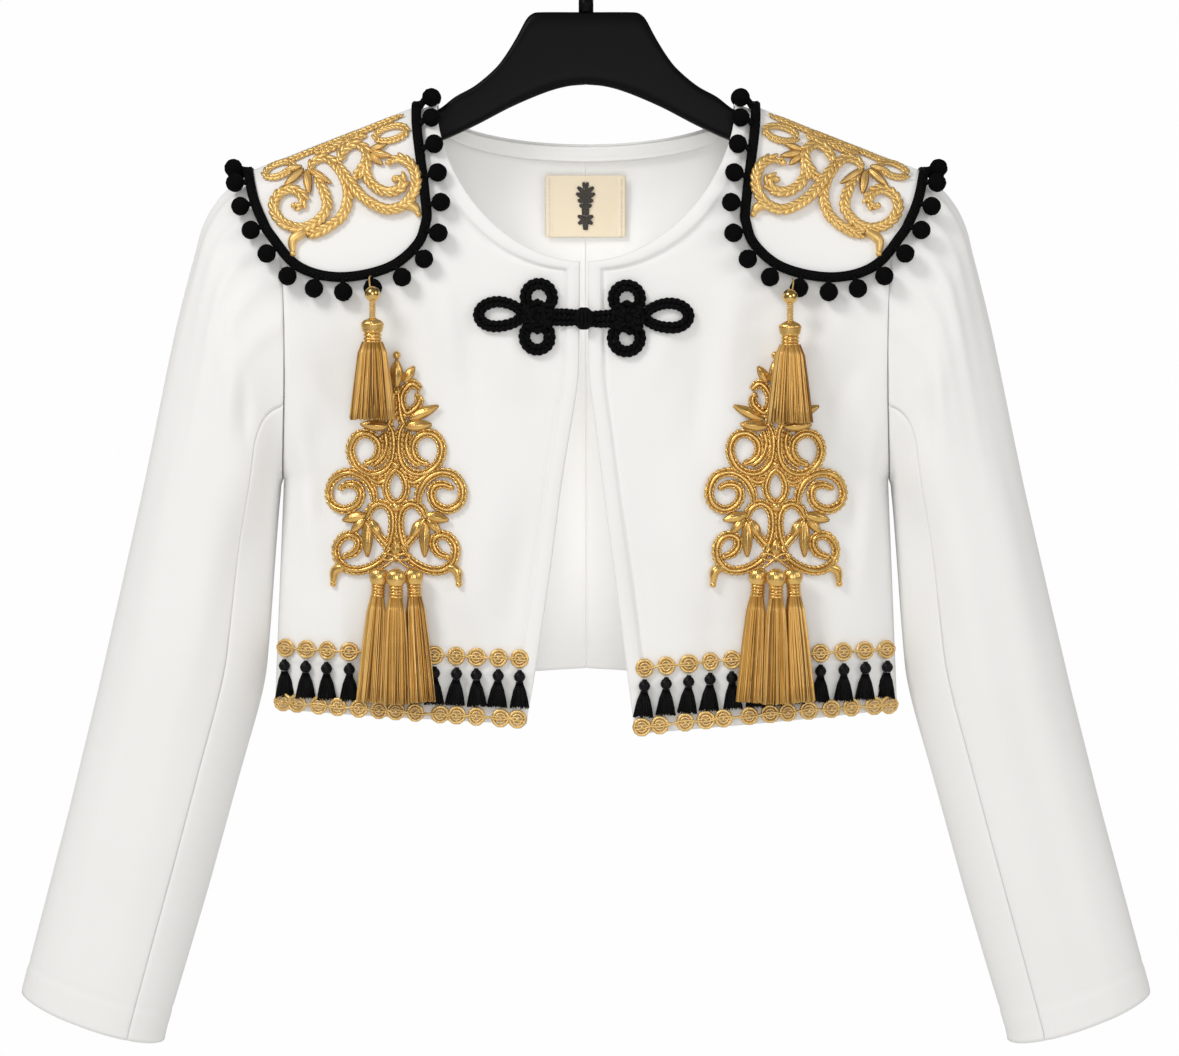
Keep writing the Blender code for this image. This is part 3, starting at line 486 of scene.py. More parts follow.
WHITE = cloth_material("white_crepe", (0.85, 0.84, 0.82), (0.88, 0.873, 0.855))
FACING = cloth_material("neck_facing_cloth", (0.86, 0.85, 0.83), (0.89, 0.88, 0.86))
STITCH = thread_material("white_stitches", (0.66, 0.65, 0.62), (0.80, 0.79, 0.76), 0.7,
                         2500.0, sheen=0.1)
BLACK = thread_material("black_cord", (0.0018, 0.0018, 0.0020), (0.0052, 0.0052, 0.0056),
                        0.66, 1800.0, specular=0.07)
FELT = thread_material("black_pompom_wool", (0.0016, 0.0016, 0.0017),
                       (0.0042, 0.0042, 0.0044), 0.95, 2600.0, specular=0.06)
SILK = thread_material("black_tassel_silk", (0.0018, 0.0018, 0.0020),
                       (0.0055, 0.0055, 0.0060), 0.38, 1500.0, specular=0.16)
GOLD = thread_material("gold_gimp", (0.66, 0.37, 0.09), (0.98, 0.66, 0.23), 0.26, 900.0, 0.82)
# Darker gold for the cores and leaf edges of the gold work: partly the cord's darker thread,
# partly painted shade in the grooves between the cords.
DARK_GOLD_AND_SHADE = thread_material("gold_dark_thread_and_painted_shade", (0.30, 0.14, 0.025), (0.58, 0.32, 0.075), 0.32,
                            900.0, 0.80)
PALE_GOLD = thread_material("pale_gold_gimp", (0.66, 0.40, 0.12), (1.0, 0.72, 0.30), 0.36,
                            1100.0, 0.62)
ROPE_GOLD = thread_material("gold_satin_rope", (0.76, 0.46, 0.13), (0.98, 0.69, 0.28), 0.42,
                            900.0, 0.70)
# Lit, middle and shaded copies of one gold rayon: painted light and shade, scattered at random
# over the tassel threads.
RAYONS = [thread_material("gold_rayon_painted_lit", (0.84, 0.48, 0.13), (0.98, 0.65, 0.22), 0.34,
                          500.0, 0.45),
          thread_material("gold_rayon_mid", (0.60, 0.30, 0.055), (0.80, 0.44, 0.10), 0.36,
                          500.0, 0.45),
          thread_material("gold_rayon_painted_shade", (0.24, 0.10, 0.018), (0.40, 0.20, 0.05), 0.42,
                          500.0, 0.40)]
BEAD = plain_material("gold_bead_metal", (0.86, 0.56, 0.18), 0.22, metallic=0.95, coat=0.3)
LABEL = cloth_material("label_cloth", (0.80, 0.69, 0.51), (0.84, 0.73, 0.55), 0.6)
MOTIF = thread_material("label_thread", (0.035, 0.030, 0.025), (0.06, 0.05, 0.04), 0.7,
                        2500.0, sheen=0.1)
PLASTIC = plain_material("black_satin_plastic", (0.0045, 0.0045, 0.0048), 0.40, grain=700.0,
                         strength=0.06, specular=0.07)


# ---- the shell, with its creases -------------------------------------------------------
def ridge_z(x):
    """Height of the shoulder ridge."""
    return NECK_Z - SHOULDER_SLOPE * clamp(np.abs(x) - NECK_X, 0, 1e9)


def seam_x(z):
    """Distance out of the armhole and of the side seam under it."""
    low = lerp(PIT_X, SIDE_HEM_X, (z - PIT_Z) / (SIDE_HEM_Z - PIT_Z))
    rise = clamp((z - MID_Z) / HALF_HEIGHT, -1.0, 1.0)
    high = lerp(PIT_X, SHOULDER_X, (rise + 1) / 2) - ARMHOLE_BOW * (1 - rise ** 2)
    return np.where(z < PIT_Z, low, high)


def body_depth(x, z):
    """Half the body's depth, folds left out."""
    x = np.abs(x)
    depth = lerp(CHEST_DEPTH, ARMHOLE_DEPTH, (x / SHOULDER_X) ** 2)
    depth = depth * (1 - HEM_TAPER * smooth((PIT_Z + 40 - z) / (PIT_Z - SIDE_HEM_Z + 40)))
    fall = clamp((ridge_z(x) - z) / HALF_HEIGHT)
    depth = depth * np.sqrt(1 - (1 - fall) ** 2)
    low = clamp((MID_Z - z) / HALF_HEIGHT)
    share = clamp(x / seam_x(z))
    return depth * np.sqrt(clamp(1 - low ** 2 * share ** SIDE_ROUND))


# Soft folds of the fronts and the back, for |x|.
# from x, from z, to x, to z, half width, height (below 0 is a trough)
FOLDS = {
    ("front", "left"): [
        (196, -262, 120, -330, 11, 1.5), (203, -300, 150, -362, 9, -1.3),
        (112, -240, 84, -330, 12, 1.7), (92, -262, 70, -372, 10, -1.6),
        (66, -258, 46, -350, 11, 1.3), (206, -330, 196, -470, 8, 1.2),
        (192, -345, 178, -500, 9, -1.4), (60, -380, 84, -520, 16, 1.6),
        (34, -400, 58, -540, 11, -1.2), (178, -470, 170, -560, 10, 1.0),
        (112, -500, 106, -570, 11, 1.1), (90, -480, 80, -560, 9, -0.9),
        (12, -300, 30, -292, 6, 0.6), (10, -276, 34, -268, 5, -0.6),
    ],
    ("front", "right"): [
        (198, -268, 128, -342, 12, 1.6), (205, -305, 160, -358, 9, -1.2),
        (110, -246, 88, -350, 11, 1.5), (94, -270, 74, -390, 11, -1.7),
        (68, -262, 44, -340, 10, 1.2), (207, -340, 199, -480, 8, 1.1),
        (190, -350, 181, -520, 9, -1.3), (62, -372, 82, -505, 17, 1.7),
        (30, -410, 52, -552, 12, -1.3), (182, -455, 176, -560, 11, 1.0),
        (116, -490, 108, -570, 10, 1.0), (92, -470, 84, -560, 10, -1.0),
        (10, -304, 32, -296, 6, 0.6), (12, -280, 32, -270, 5, -0.6),
    ],
    ("back", "left"): [
        (190, -215, 60, -300, 15, 1.8), (200, -262, 90, -352, 12, -1.5),
        (40, -190, 30, -340, 14, -1.1), (204, -320, 188, -470, 10, 1.3),
        (180, -330, 150, -520, 13, -1.5), (120, -360, 112, -530, 15, 1.6),
        (70, -380, 78, -530, 14, -1.2), (26, -400, 30, -530, 12, 1.1),
    ],
    ("back", "right"): [
        (186, -222, 70, -292, 14, 1.6), (202, -270, 96, -344, 12, -1.6),
        (44, -186, 34, -330, 13, -1.0), (205, -330, 192, -480, 9, 1.2),
        (176, -340, 158, -530, 14, -1.4), (126, -350, 116, -525, 14, 1.5),
        (74, -392, 84, -530, 15, -1.3), (30, -395, 34, -530, 11, 1.0),
    ],
}
FOLD_DEPTH = 2.7
FLAP_START_X, FLAP_END_Z = 104.0, -264.0     # the folds fade out under the epaulettes
UNDER_FLAP = 0.15                            # share of a fold's height left there


def fold_height(rows, x, z):
    """Height of the soft folds at (x, z), fading out towards each fold's ends."""
    total = np.zeros(np.broadcast(x, z).shape)
    for x0, z0, x1, z1, wide, high in rows:
        dx, dz = x1 - x0, z1 - z0
        size = dx * dx + dz * dz
        t = ((x - x0) * dx + (z - z0) * dz) / size
        away = np.abs((x - x0) * dz - (z - z0) * dx) / math.sqrt(size)
        body = np.exp(-(away / wide) ** 2)
        total = total + high * body * np.sin(math.pi * clamp(t)) ** 1.3
    under_flap = smooth((x - FLAP_START_X) / 8) * smooth((z - FLAP_END_Z) / 12)
    return FOLD_DEPTH * total * lerp(1, UNDER_FLAP, under_flap)


def shell_y(x, z, side, face):
    """Height of the shell out from the middle plane, folds included."""
    depth = body_depth(x, z)
    fade = smooth(depth / 20.0)
    return depth + SEAM / 2 + fold_height(FOLDS[(PLACE[face], side)], np.abs(x), z) * fade


def on_shell(x, z, face, off):
    """Points moved out from the shell by off, and the directions out, for signed X."""
    x = np.asarray(x, float)
    z = np.asarray(z, float)
    side = "left" if np.mean(x) < 0 else "right"
    step = 0.6
    here = shell_y(x, z, side, face)
    slope_x = (shell_y(x + step, z, side, face) - shell_y(x - step, z, side, face))
    slope_z = (shell_y(x, z + step, side, face) - shell_y(x, z - step, side, face))
    normal = unit(np.stack([-slope_x / (2 * step), np.full(x.shape, float(face)),
                            -slope_z / (2 * step)], axis=-1))
    point = np.stack([x, face * here, z], axis=-1)
    return point + normal * np.asarray(off)[..., None], normal


def front_edge(side, share):
    """Front neckline and then the opening's edge, for shares from the neck point down."""
    turn = math.pi / 2 * clamp(share / FRONT_NECK_SHARE) ** 1.45
    power = 2 / FRONT_NECK_POWER
    gap = FRONT_EDGE[side][0][1] + MIDDLE_X * SIGN[side]
    neck_x = gap + (NECK_X - gap) * clamp(np.cos(turn)) ** power
    neck_z = NECK_Z - FRONT_NECK_DROP * np.sin(turn) ** power
    z = lerp(CF_TOP_Z, FRONT_EDGE[side][-1][0],
             (share - FRONT_NECK_SHARE) / (1 - FRONT_NECK_SHARE))
    x = soft_table(FRONT_EDGE[side], z, 10.0) + MIDDLE_X * SIGN[side]
    on_neck = share < FRONT_NECK_SHARE
    return np.where(on_neck, neck_x, x), np.where(on_neck, neck_z, z)


def back_edge(share):
    """Back neckline and then the centre seam, for shares from the neck point down."""
    turn = math.pi / 2 * clamp(share / BACK_NECK_SHARE) ** 1.2
    neck_x = np.maximum(SEAM / 2, NECK_X * np.cos(turn))
    neck_z = NECK_Z - BACK_NECK_DROP * np.sin(turn)
    z = lerp(NECK_Z - BACK_NECK_DROP, SIDE_HEM_Z + BACK_HEM_RISE,
             (share - BACK_NECK_SHARE) / (1 - BACK_NECK_SHARE))
    on_neck = share < BACK_NECK_SHARE
    return np.where(on_neck, neck_x, SEAM / 2), np.where(on_neck, neck_z, z)


def outer_edge(share):
    """Armhole and then the side seam, for shares from the shoulder point down."""
    arm_z = MID_Z + HALF_HEIGHT * np.cos(math.pi * clamp(share / PIT_SHARE))
    side_z = lerp(PIT_Z, SIDE_HEM_Z, (share - PIT_SHARE) / (1 - PIT_SHARE))
    z = np.where(share < PIT_SHARE, arm_z, side_z)
    return seam_x(z), z


def panel_points(side, face, share, across):
    """Points of a front or back panel, and their distances from its two edges."""
    inner_x, inner_z = front_edge(side, share) if face < 0 else back_edge(share)
    outer_x, outer_z = outer_edge(share)
    x = lerp(inner_x, outer_x, across)
    bend = 4 * across * (1 - across)
    sag = 0.6 if face < 0 else -4.0
    z = lerp(inner_z, outer_z, across) - sag * bend * share ** 6
    z = np.minimum(z, ridge_z(x))
    width = np.hypot(outer_x - inner_x, outer_z - inner_z)
    return x, z, across * width, (1 - across) * width


def groove(distance, at, wide=0.9):
    """1 along the line at a given distance, falling to 0 beside it."""
    return np.exp(-((distance - at) / wide) ** 2)


def panel_shares(face):
    """Shares down the panel, closer near the ridge, the underarm and the hem."""
    near_ridge = 0.10 * np.linspace(0, 1, 12)[:-1] ** 1.8
    body = np.linspace(0.10, 0.86, 56)[:-1]
    hem = np.linspace(0.86, 1.0, 34)
    corner = FRONT_NECK_SHARE if face < 0 else BACK_NECK_SHARE
    held = np.concatenate([near_ridge, body, hem])
    held = held[(np.abs(held - corner) > 0.004) & (np.abs(held - PIT_SHARE) > 0.004)]
    return np.sort(np.concatenate([held, [corner, PIT_SHARE]]))


def panel_across():
    """Shares across the panel, closer near its two edges."""
    edge = 0.075 * np.linspace(0, 1, 13)[:-1]
    body = np.linspace(0.075, 0.86, 34)[:-1]
    turn = 1 - 0.14 * np.linspace(1, 0, 16) ** 1.7
    return np.concatenate([edge, body, turn])


EDGE_BAND = 12.0                             # width of the rolled band along the front edge
HEM_STEP_TOP, HEM_STEP_OUT = -528.2, 213.5   # where the cloth steps back at the side
HEM_STEP_WIDTH = 170.0
HEM_STEP_END = {"left": -538.4, "right": -545.4}   # and its height at the front edge


def rolled_edge(from_edge):
    """Relief of the rolled band along the neckline and the front edge."""
    swell = 0.7 + 0.9 * np.sin(math.pi * clamp(from_edge / EDGE_BAND)) ** 0.7
    band = smooth((EDGE_BAND + 0.4 - from_edge) / 2.0) * swell
    return 1.35 * band - 0.8 * groove(from_edge, EDGE_BAND + 0.8, 1.2)


def hem_step(side, x, z):
    """Relief of the cloth that steps back behind the black tassels."""
    along = clamp((HEM_STEP_OUT - x) / HEM_STEP_WIDTH)
    drop = along ** 1.4 if side == "right" else along
    line_z = lerp(HEM_STEP_TOP, HEM_STEP_END[side], drop)
    below = smooth((line_z - z) / 1.2)
    wave = 0.35 * below * np.sin(x * 0.42) * smooth((z + 572) / 20.0)
    return wave - below - 0.5 * groove(z, line_z, 0.8)


def build_panel(side, face):
    share = panel_shares(face)[:, None]
    across = panel_across()[None, :]
    x, z, from_edge, from_seam = panel_points(side, face, share, across)
    y = shell_y(x * SIGN[side], z, side, face)
    raise_by = np.zeros(x.shape)
    if face < 0:
        raise_by += rolled_edge(from_edge) + hem_step(side, x, z)
    else:
        hem_z = z - z[-1:, :]
        raise_by += 0.30 * smooth((20.5 - hem_z) / 2.0) - 0.35 * groove(hem_z, 21.0)
        raise_by -= 0.30 * groove(from_edge, 0.0, 2.0)
    raise_by -= 0.9 * groove(from_seam, 0.0, 2.2) * (share < 0.97)
    y = np.maximum(y + raise_by * smooth(y / 12.0), SEAM / 2)
    grid = np.stack([SIGN[side] * x, face * y, z], axis=2)
    pin = np.ones(grid.shape)
    pin[0, :, 1] = 0
    low = share[:, 0] >= PIT_SHARE
    pin[low, -1, 1] = 0
    pin[~low, -1, 0] = 0
    if face > 0:
        pin[share[:, 0] > BACK_NECK_SHARE, 0, 0] = 0
    shape = Shape()
    wall(shape, grid, WALL, (0, face, 0), pin)
    panel = PLACE[face]
    made = shape.make(f"cloth_{panel}_{side}", [WHITE],
                      [f"{panel}_{side}"])


# Gathers of the sleeve head: degrees round, reach in rows, half width in degrees, height
GATHERS = [(-74, 2.2, 5.0, 0.8), (-52, 3.0, 4.2, 1.1), (-30, 2.6, 4.0, 0.9),
           (6, 3.2, 4.6, 1.0), (24, 3.6, 4.0, 1.3), (41, 3.0, 3.6, 1.2),
           (57, 4.2, 4.2, 1.5), (73, 3.4, 3.6, 1.2), (90, 2.8, 4.6, 0.9)]
# Creases of the sleeve: degrees, row, degrees, row, half width (degrees), height
SLEEVE_CREASES = [(150, 5.0, 80, 6.6, 13, 1.3), (158, 6.3, 96, 7.8, 12, -1.2),
                  (40, 6.8, 78, 9.4, 14, 0.9), (120, 7.4, 70, 8.6, 12, 1.0),
                  (95, 9.0, 60, 10.6, 15, -0.8), (-60, 5.4, -120, 7.2, 15, 1.3),
                  (-90, 7.8, -130, 9.6, 15, -1.1), (10, 3.4, 30, 7.4, 16, 0.9),
                  (105, 2.6, 112, 5.2, 8, -1.0), (84, 2.2, 96, 5.8, 8, 0.9)]


LAST_ROW = len(SLEEVE_SECTIONS) - 1
LAST_ROW_LENGTH = 112.0
ROW_DEGREES = 12.0      # a crease's slant counts this many degrees as one row
SLEEVE_FOLD_DEPTH = 2.4


def sleeve_points(side, row, degrees):
    """Points of the smooth sleeve, row through SLEEVE_SECTIONS, degrees round it."""
    held = spline(SLEEVE_SECTIONS, row / LAST_ROW)
    outer_z, inner_z, depth = held[..., 0], held[..., 1], held[..., 2]
    away = clamp(row / 2)
    trim = OUTER_TRIM[side] * np.sin(math.pi * clamp(row / LAST_ROW))
    outer_x = soft_table(SLEEVE_OUTER, outer_z, 5.0) - trim
    outer_x = np.where(row < 1, lerp(SHOULDER_X, outer_x, smooth(row)), outer_x)
    inner_x = soft_table(SLEEVE_INNER, inner_z, 9.0) + away * SLEEVE_CLEAR
    turn = np.radians(degrees)
    x = (outer_x + inner_x) / 2 + (outer_x - inner_x) / 2 * np.cos(turn)
    z = (outer_z + inner_z) / 2 + (outer_z - inner_z) / 2 * np.cos(turn)
    deep = np.abs(np.sin(turn))
    bow = ARMHOLE_BOW * (1 - clamp(row / 4))
    x = x - bow * deep ** 2 + ARMHOLE_GAP
    z = z - CUFF_SAG * clamp(row - LAST_ROW + 1) ** 1.5 * deep
    return np.stack([SIGN[side] * x, -depth * np.sin(turn), z], axis=-1)


def sleeve_relief(row, degrees):
    """Height of the gathers, creases and stitched hem on the sleeve."""
    total = np.zeros(np.broadcast(row, degrees).shape)
    for at, reach, wide, high in GATHERS:
        total = total + (high * np.exp(-((degrees - at - row * 1.2) / wide) ** 2)
                         * smooth(row / 0.35) * np.exp(-(row / reach) ** 2))
    for d0, r0, d1, r1, wide, high in SLEEVE_CREASES:
        dd, dr = (d1 - d0) / ROW_DEGREES, r1 - r0
        size = dd * dd + dr * dr
        from_d, from_r = (degrees - d0) / ROW_DEGREES, row - r0
        along = (from_d * dd + from_r * dr) / size
        away = np.abs(from_d * dr - from_r * dd) / math.sqrt(size)
        total = total + (high * np.exp(-(away * ROW_DEGREES / wide) ** 2)
                         * np.sin(math.pi * clamp(along)) ** 1.3)
    hem = (LAST_ROW - row) * LAST_ROW_LENGTH
    stitched = 0.30 * smooth((20.0 - hem) / 2.0) - 0.45 * groove(hem, 21.0)
    return SLEEVE_FOLD_DEPTH * total + stitched - 0.8 * groove(row, 0.0, 0.12)


def sleeve_rows():
    """Rows down the sleeve, closer at its head and its hem."""
    head = np.linspace(0, 4.0, 40)[:-1]
    arm = np.linspace(4.0, LAST_ROW - 0.3, 54)[:-1]
    hem = np.linspace(LAST_ROW - 0.3, LAST_ROW, 15)
    return np.concatenate([head, arm, hem])


# Start and end round the sleeve in degrees, columns, flat size in metres, area.
SLEEVE_PARTS = {
    "top": (BACK_SLEEVE_SEAM - 360, FRONT_SLEEVE_SEAM, 84, (0.235, 0.610), 0.1140),
    "under": (FRONT_SLEEVE_SEAM, BACK_SLEEVE_SEAM, 38, (0.110, 0.420), 0.0360),
}
SLEEVE_RADIUS = 40.0


def build_sleeve(side, part):
    start, end, count, flat, area = SLEEVE_PARTS[part]
    gap = math.degrees(SEAM / 2 / SLEEVE_RADIUS)
    seams = 0.5 - 0.5 * np.cos(math.pi * np.linspace(0, 1, count))
    blend = 0.6 * np.linspace(0, 1, count) + 0.4 * seams
    degrees = lerp(start + gap, end - gap, blend)[None, :]
    row = sleeve_rows()[:, None]
    base = sleeve_points(side, row, degrees)
    step = 0.5
    around = (sleeve_points(side, row, degrees + step)
              - sleeve_points(side, row, degrees - step))
    down = (sleeve_points(side, clamp(row + 0.02, 0, LAST_ROW), degrees)
            - sleeve_points(side, clamp(row - 0.02, 0, LAST_ROW), degrees))
    normal = unit(np.cross(around, down) * SIGN[side])
    round_way = degrees if part == "top" else np.where(degrees > 180, degrees - 360,
                                                       degrees)
    relief = sleeve_relief(row, round_way)
    edge = np.minimum(degrees - start, end - degrees) * 0.8
    relief = relief - 0.5 * np.exp(-(edge / 1.5) ** 2) * smooth((row - 6.5) / 2)
    grid = base + normal * relief[..., None]
    pin = np.ones(grid.shape)
    pin[0, :, 0] = 0
    shape = Shape()
    outward = (SIGN[side], 0, 0) if part == "top" else (-SIGN[side], 0, 0)
    wall(shape, grid, WALL, outward, pin)
    made = shape.make(f"cloth_sleeve_{part}_{side}", [WHITE],
                      [f"sleeve_{part}_{side}"])


# ---- camera, light and stage -----------------------------------------------------------
VIEW_MIDDLE = Vector((2.5 * MM, 0.0, -433.0 * MM))
VIEW_DISTANCE = 3.0
VIEW_WIDTH = 849.0 * MM
SENSOR = 36.0
FLOOR_Z, FLOOR_RADIUS = -1.5, 3.5
AMBIENT, SHINE = 0.46, 0.16     # strength of the world for cloth and for reflections
# Soft boxes.  columns: name, place, size, power
SOFT_BOXES = [("front_soft_box", (0.1, -3.4, -0.2), 1.2, 23.0),
              ("key_soft_box", (-1.5, -1.6, 1.35), 0.8, 29.0),
              ("side_soft_box", (1.9, -1.4, 0.3), 0.9, 8.0),
              ("back_soft_box", (0.6, 2.4, 0.7), 1.6, 14.0)]


def build_view():
    """Camera in front of the jacket."""
    data = bpy.data.cameras.new("camera")
    camera = bpy.data.objects.new("camera", data)
    bpy.context.scene.collection.objects.link(camera)
    camera.location = VIEW_MIDDLE + Vector((0.0, -VIEW_DISTANCE, 0.0))
    camera.rotation_euler = (math.pi / 2, 0.0, 0.0)
    data.sensor_width = SENSOR
    data.lens = SENSOR * VIEW_DISTANCE / VIEW_WIDTH
    data.clip_end = 50.0
    bpy.context.scene.camera = camera


def area_light(name, place, size, power, target=VIEW_MIDDLE):
    data = bpy.data.lights.new(name, "AREA")
    data.energy = power
    data.size = size
    made = bpy.data.objects.new(name, data)
    made.location = place
    made.rotation_euler = (target - Vector(place)).to_track_quat("-Z", "Y").to_euler()
    bpy.context.scene.collection.objects.link(made)


def build_light():
    """Pale room, dimmer in reflections and nearly white behind the jacket, and soft boxes."""
    scene = bpy.context.scene
    scene.view_settings.view_transform = "Standard"
    world = bpy.data.worlds.new("studio")
    scene.world = world
    world.use_nodes = True
    tree = world.node_tree
    soft = tree.nodes["Background"]
    soft.inputs["Color"].default_value = (1.0, 0.996, 0.988, 1.0)
    soft.inputs["Strength"].default_value = AMBIENT
    dark = add_node(tree, "ShaderNodeBackground", Strength=SHINE)
    paper = add_node(tree, "ShaderNodeBackground", Strength=1.0)
    paper.inputs["Color"].default_value = (0.99, 0.99, 0.99, 1.0)
    path = add_node(tree, "ShaderNodeLightPath")
    shine = add_node(tree, "ShaderNodeMixShader")
    tree.links.new(path.outputs["Is Glossy Ray"], shine.inputs[0])
    tree.links.new(soft.outputs[0], shine.inputs[1])
    tree.links.new(dark.outputs[0], shine.inputs[2])
    mix = add_node(tree, "ShaderNodeMixShader")
    tree.links.new(path.outputs["Is Camera Ray"], mix.inputs[0])
    tree.links.new(shine.outputs[0], mix.inputs[1])
    tree.links.new(paper.outputs[0], mix.inputs[2])
    tree.links.new(mix.outputs[0], tree.nodes["World Output"].inputs["Surface"])
    for name, place, size, power in SOFT_BOXES:
        area_light(name, place, size, power)
    inside, behind = (0.0, -0.030, -0.36), Vector((0.0, 1.0, -0.36))
    area_light("inside_soft_box", inside, 0.30, 0.15, behind)


def build_floor():
    rim = [(FLOOR_RADIUS * math.cos(a), FLOOR_RADIUS * math.sin(a), FLOOR_Z)
           for a in full_turn(96)]
    mesh = bpy.data.meshes.new("studio_floor")
    mesh.from_pydata(rim, [], [tuple(range(len(rim)))])
    mesh.materials.append(new_material("pale_floor", (0.86, 0.86, 0.855), 0.9)[0])
    floor = bpy.data.objects.new("studio_floor", mesh)
    bpy.context.scene.collection.objects.link(floor)


# ---- epaulettes ------------------------------------------------------------------------
def flap_outline(across, down):
    """Front-view x and z of the flap, across 0 at the inner edge, down 0 at the ridge."""
    across, down = np.broadcast_arrays(np.asarray(across, float), np.asarray(down, float))
    top_x = lerp(FLAP_INNER[0][0], FLAP_OUTER[0][0], across)
    top = np.stack([top_x, ridge_z(top_x)], axis=-1)
    bottom = spline(FLAP_BOTTOM, across)
    inner = spline(FLAP_INNER, down)
    outer = spline(FLAP_OUTER, down)
    a, d = across[..., None], down[..., None]
    corner = (lerp(np.array(FLAP_INNER[0]), np.array(FLAP_OUTER[0]), a) * (1 - d)
              + lerp(np.array(FLAP_BOTTOM[0]), np.array(FLAP_BOTTOM[-1]), a) * d)
    held = lerp(top, bottom, d) + lerp(inner, outer, a) - corner
    return held[..., 0], held[..., 1]


def flap_points(side, x, z, face, off):
    """Points above the flap's outer face for |x| and a height on the bare shoulder."""
    x = np.asarray(x, float)
    depth = lerp(CHEST_DEPTH, ARMHOLE_DEPTH, (x / SHOULDER_X) ** 2)
    depth = depth + FLAP_LIFT * clamp(x - FLAP_LIFT_X, 0, 1e9)
    lift = FLAP_OFF + off
    up = 1 - clamp((ridge_z(x) - z) / HALF_HEIGHT)
    out = np.sqrt(clamp(1 - up ** 2))
    return np.stack([SIGN[side] * x, face * (depth + lift) * out, z + lift * up], axis=-1)


def on_flap(side, x, z, face, off):
    """Points that stand off above the flap and are seen at height z from the front."""
    x = np.asarray(x, float)
    lift = FLAP_OFF + off
    bare = (z - lift * (1 - ridge_z(x) / HALF_HEIGHT)) / (1 + lift / HALF_HEIGHT)
    bare = np.minimum(bare, ridge_z(x))
    return flap_points(side, x, bare, face, off)


def flap_up(point):
    """Direction away from the shoulder at a point above it."""
    point = np.asarray(point, float)
    centre = ridge_z(point[..., 0]) - HALF_HEIGHT
    up = np.stack([np.zeros(point.shape[:-1]), point[..., 1] / ARMHOLE_DEPTH ** 2,
                   clamp(point[..., 2] - centre, 0, 1e9) / HALF_HEIGHT ** 2], axis=-1)
    return unit(up)


FLAP_SWELL_PHASE = {"left": 1, "right": 0}


def build_epaulette(side):
    downs = np.concatenate([-np.linspace(1, 0, 40)[:-1], np.linspace(0, 1, 40)])
    across = 0.5 - 0.5 * np.cos(math.pi * np.linspace(0, 1, 64))
    across = 0.5 * across + 0.5 * np.linspace(0, 1, 64)
    x, z = flap_outline(across[None, :], np.abs(downs)[:, None])
    face = np.where(downs <= 0, -1, 1)[:, None]
    waves = 0.5 * np.sin(across * 9.0 + 1.0)[None, :] * (np.abs(downs) ** 2)[:, None]
    swell = np.sin(downs * 5 + FLAP_SWELL_PHASE[side])[:, None]
    waves = waves + 0.36 * swell * np.sin(math.pi * across)[None, :]
    grid = flap_points(side, x, z, face, clamp(waves, -0.5, 1.0))
    shape = Shape()
    wall(shape, grid, FLAP_WALL, (0, 0, 1))
    made = shape.make(f"cloth_epaulette_{side}", [WHITE],
                      [f"epaulette_{side}"])


BRAID_THICK = 4.0
POMPOM, POMPOM_REACH, POMPOMS = 13.2, 10.6, 34
POMPOM_START = 0.58     # the first pompom's place, as a share of the spacing
STAND_OFF = 1.5
FLAP_MIDDLE = (178.0, -262.0)     # distance out and height under the flap


def flap_rim(side):
    """Closed path round both lobes of the flap, 1 mm between its points."""
    lobe = [(0.0, d / 24) for d in range(1, 24)]
    lobe += [(a / 60, 1.0) for a in range(61)]
    lobe += [(1.0, 1 - d / 18) for d in range(1, 18)]
    raw = []
    for face in (-1, 1):
        cells = [(0.0, 0.0)] + lobe if face < 0 else [(1.0, 0.0)] + lobe[::-1]
        cells = np.array(cells)
        x, z = flap_outline(cells[:, 0], cells[:, 1])
        raw.append(flap_points(side, x, z, face, STAND_OFF + BRAID_THICK / 2 - 1.0))
    raw = even_loop(np.concatenate(raw), 1.0)
    for _ in range(6):
        raw = 0.5 * raw + 0.25 * (np.roll(raw, 1, axis=0) + np.roll(raw, -1, axis=0))
    return raw


def rim_frames(path, side):
    """Directions out of the flap's edge and up from the flap, along its rim."""
    along = unit(np.roll(path, -1, axis=0) - np.roll(path, 1, axis=0))
    up = path - np.array([SIGN[side] * FLAP_MIDDLE[0], 0.0, FLAP_MIDDLE[1]])
    up = np.stack([np.zeros(len(path)), up[:, 1] / ARMHOLE_DEPTH ** 2 * 4,
                   clamp(up[:, 2], 0, 1e9) / HALF_HEIGHT ** 2 * 4], axis=1)
    up = unit(up - along * np.sum(up * along, axis=1, keepdims=True))
    return np.cross(along, up) * SIGN[side], up


def above_shell(point, distance):
    """The point, pushed out of the shoulder until it is at least distance above it."""
    out = abs(point[0])
    depth = lerp(CHEST_DEPTH, ARMHOLE_DEPTH, (out / SHOULDER_X) ** 2)
    depth += distance + STAND_OFF + FLAP_LIFT * max(0.0, out - FLAP_LIFT_X)
    panel = ("front" if point[1] < 0 else "back", "left" if point[0] < 0 else "right")
    depth += max(0.0, float(fold_height(FOLDS[panel], out, point[2])))
    height = HALF_HEIGHT + distance + STAND_OFF
    centre = ridge_z(out) - HALF_HEIGHT
    up = max(0.0, (point[2] - centre) / height)
    reach = math.hypot(point[1] / depth, up)
    if reach >= 1:
        return point
    return np.array([point[0], point[1] / reach, centre + (point[2] - centre) / reach])


def felt_ball(shape, centre, radius, seed):
    """Wool pompom: a ball whose surface is broken by soft tufts."""
    points, faces = ball_grid(13, 18)
    size = np.array([1 + 0.05 * noise.noise(Vector(p * 5.0) + Vector((seed, 0, 0)))
                     + 0.035 * noise.noise(Vector(p * 13.0) + Vector((0, seed, 0)))
                     for p in points])
    shape.add(np.asarray(centre) + points * radius * size[:, None], faces)


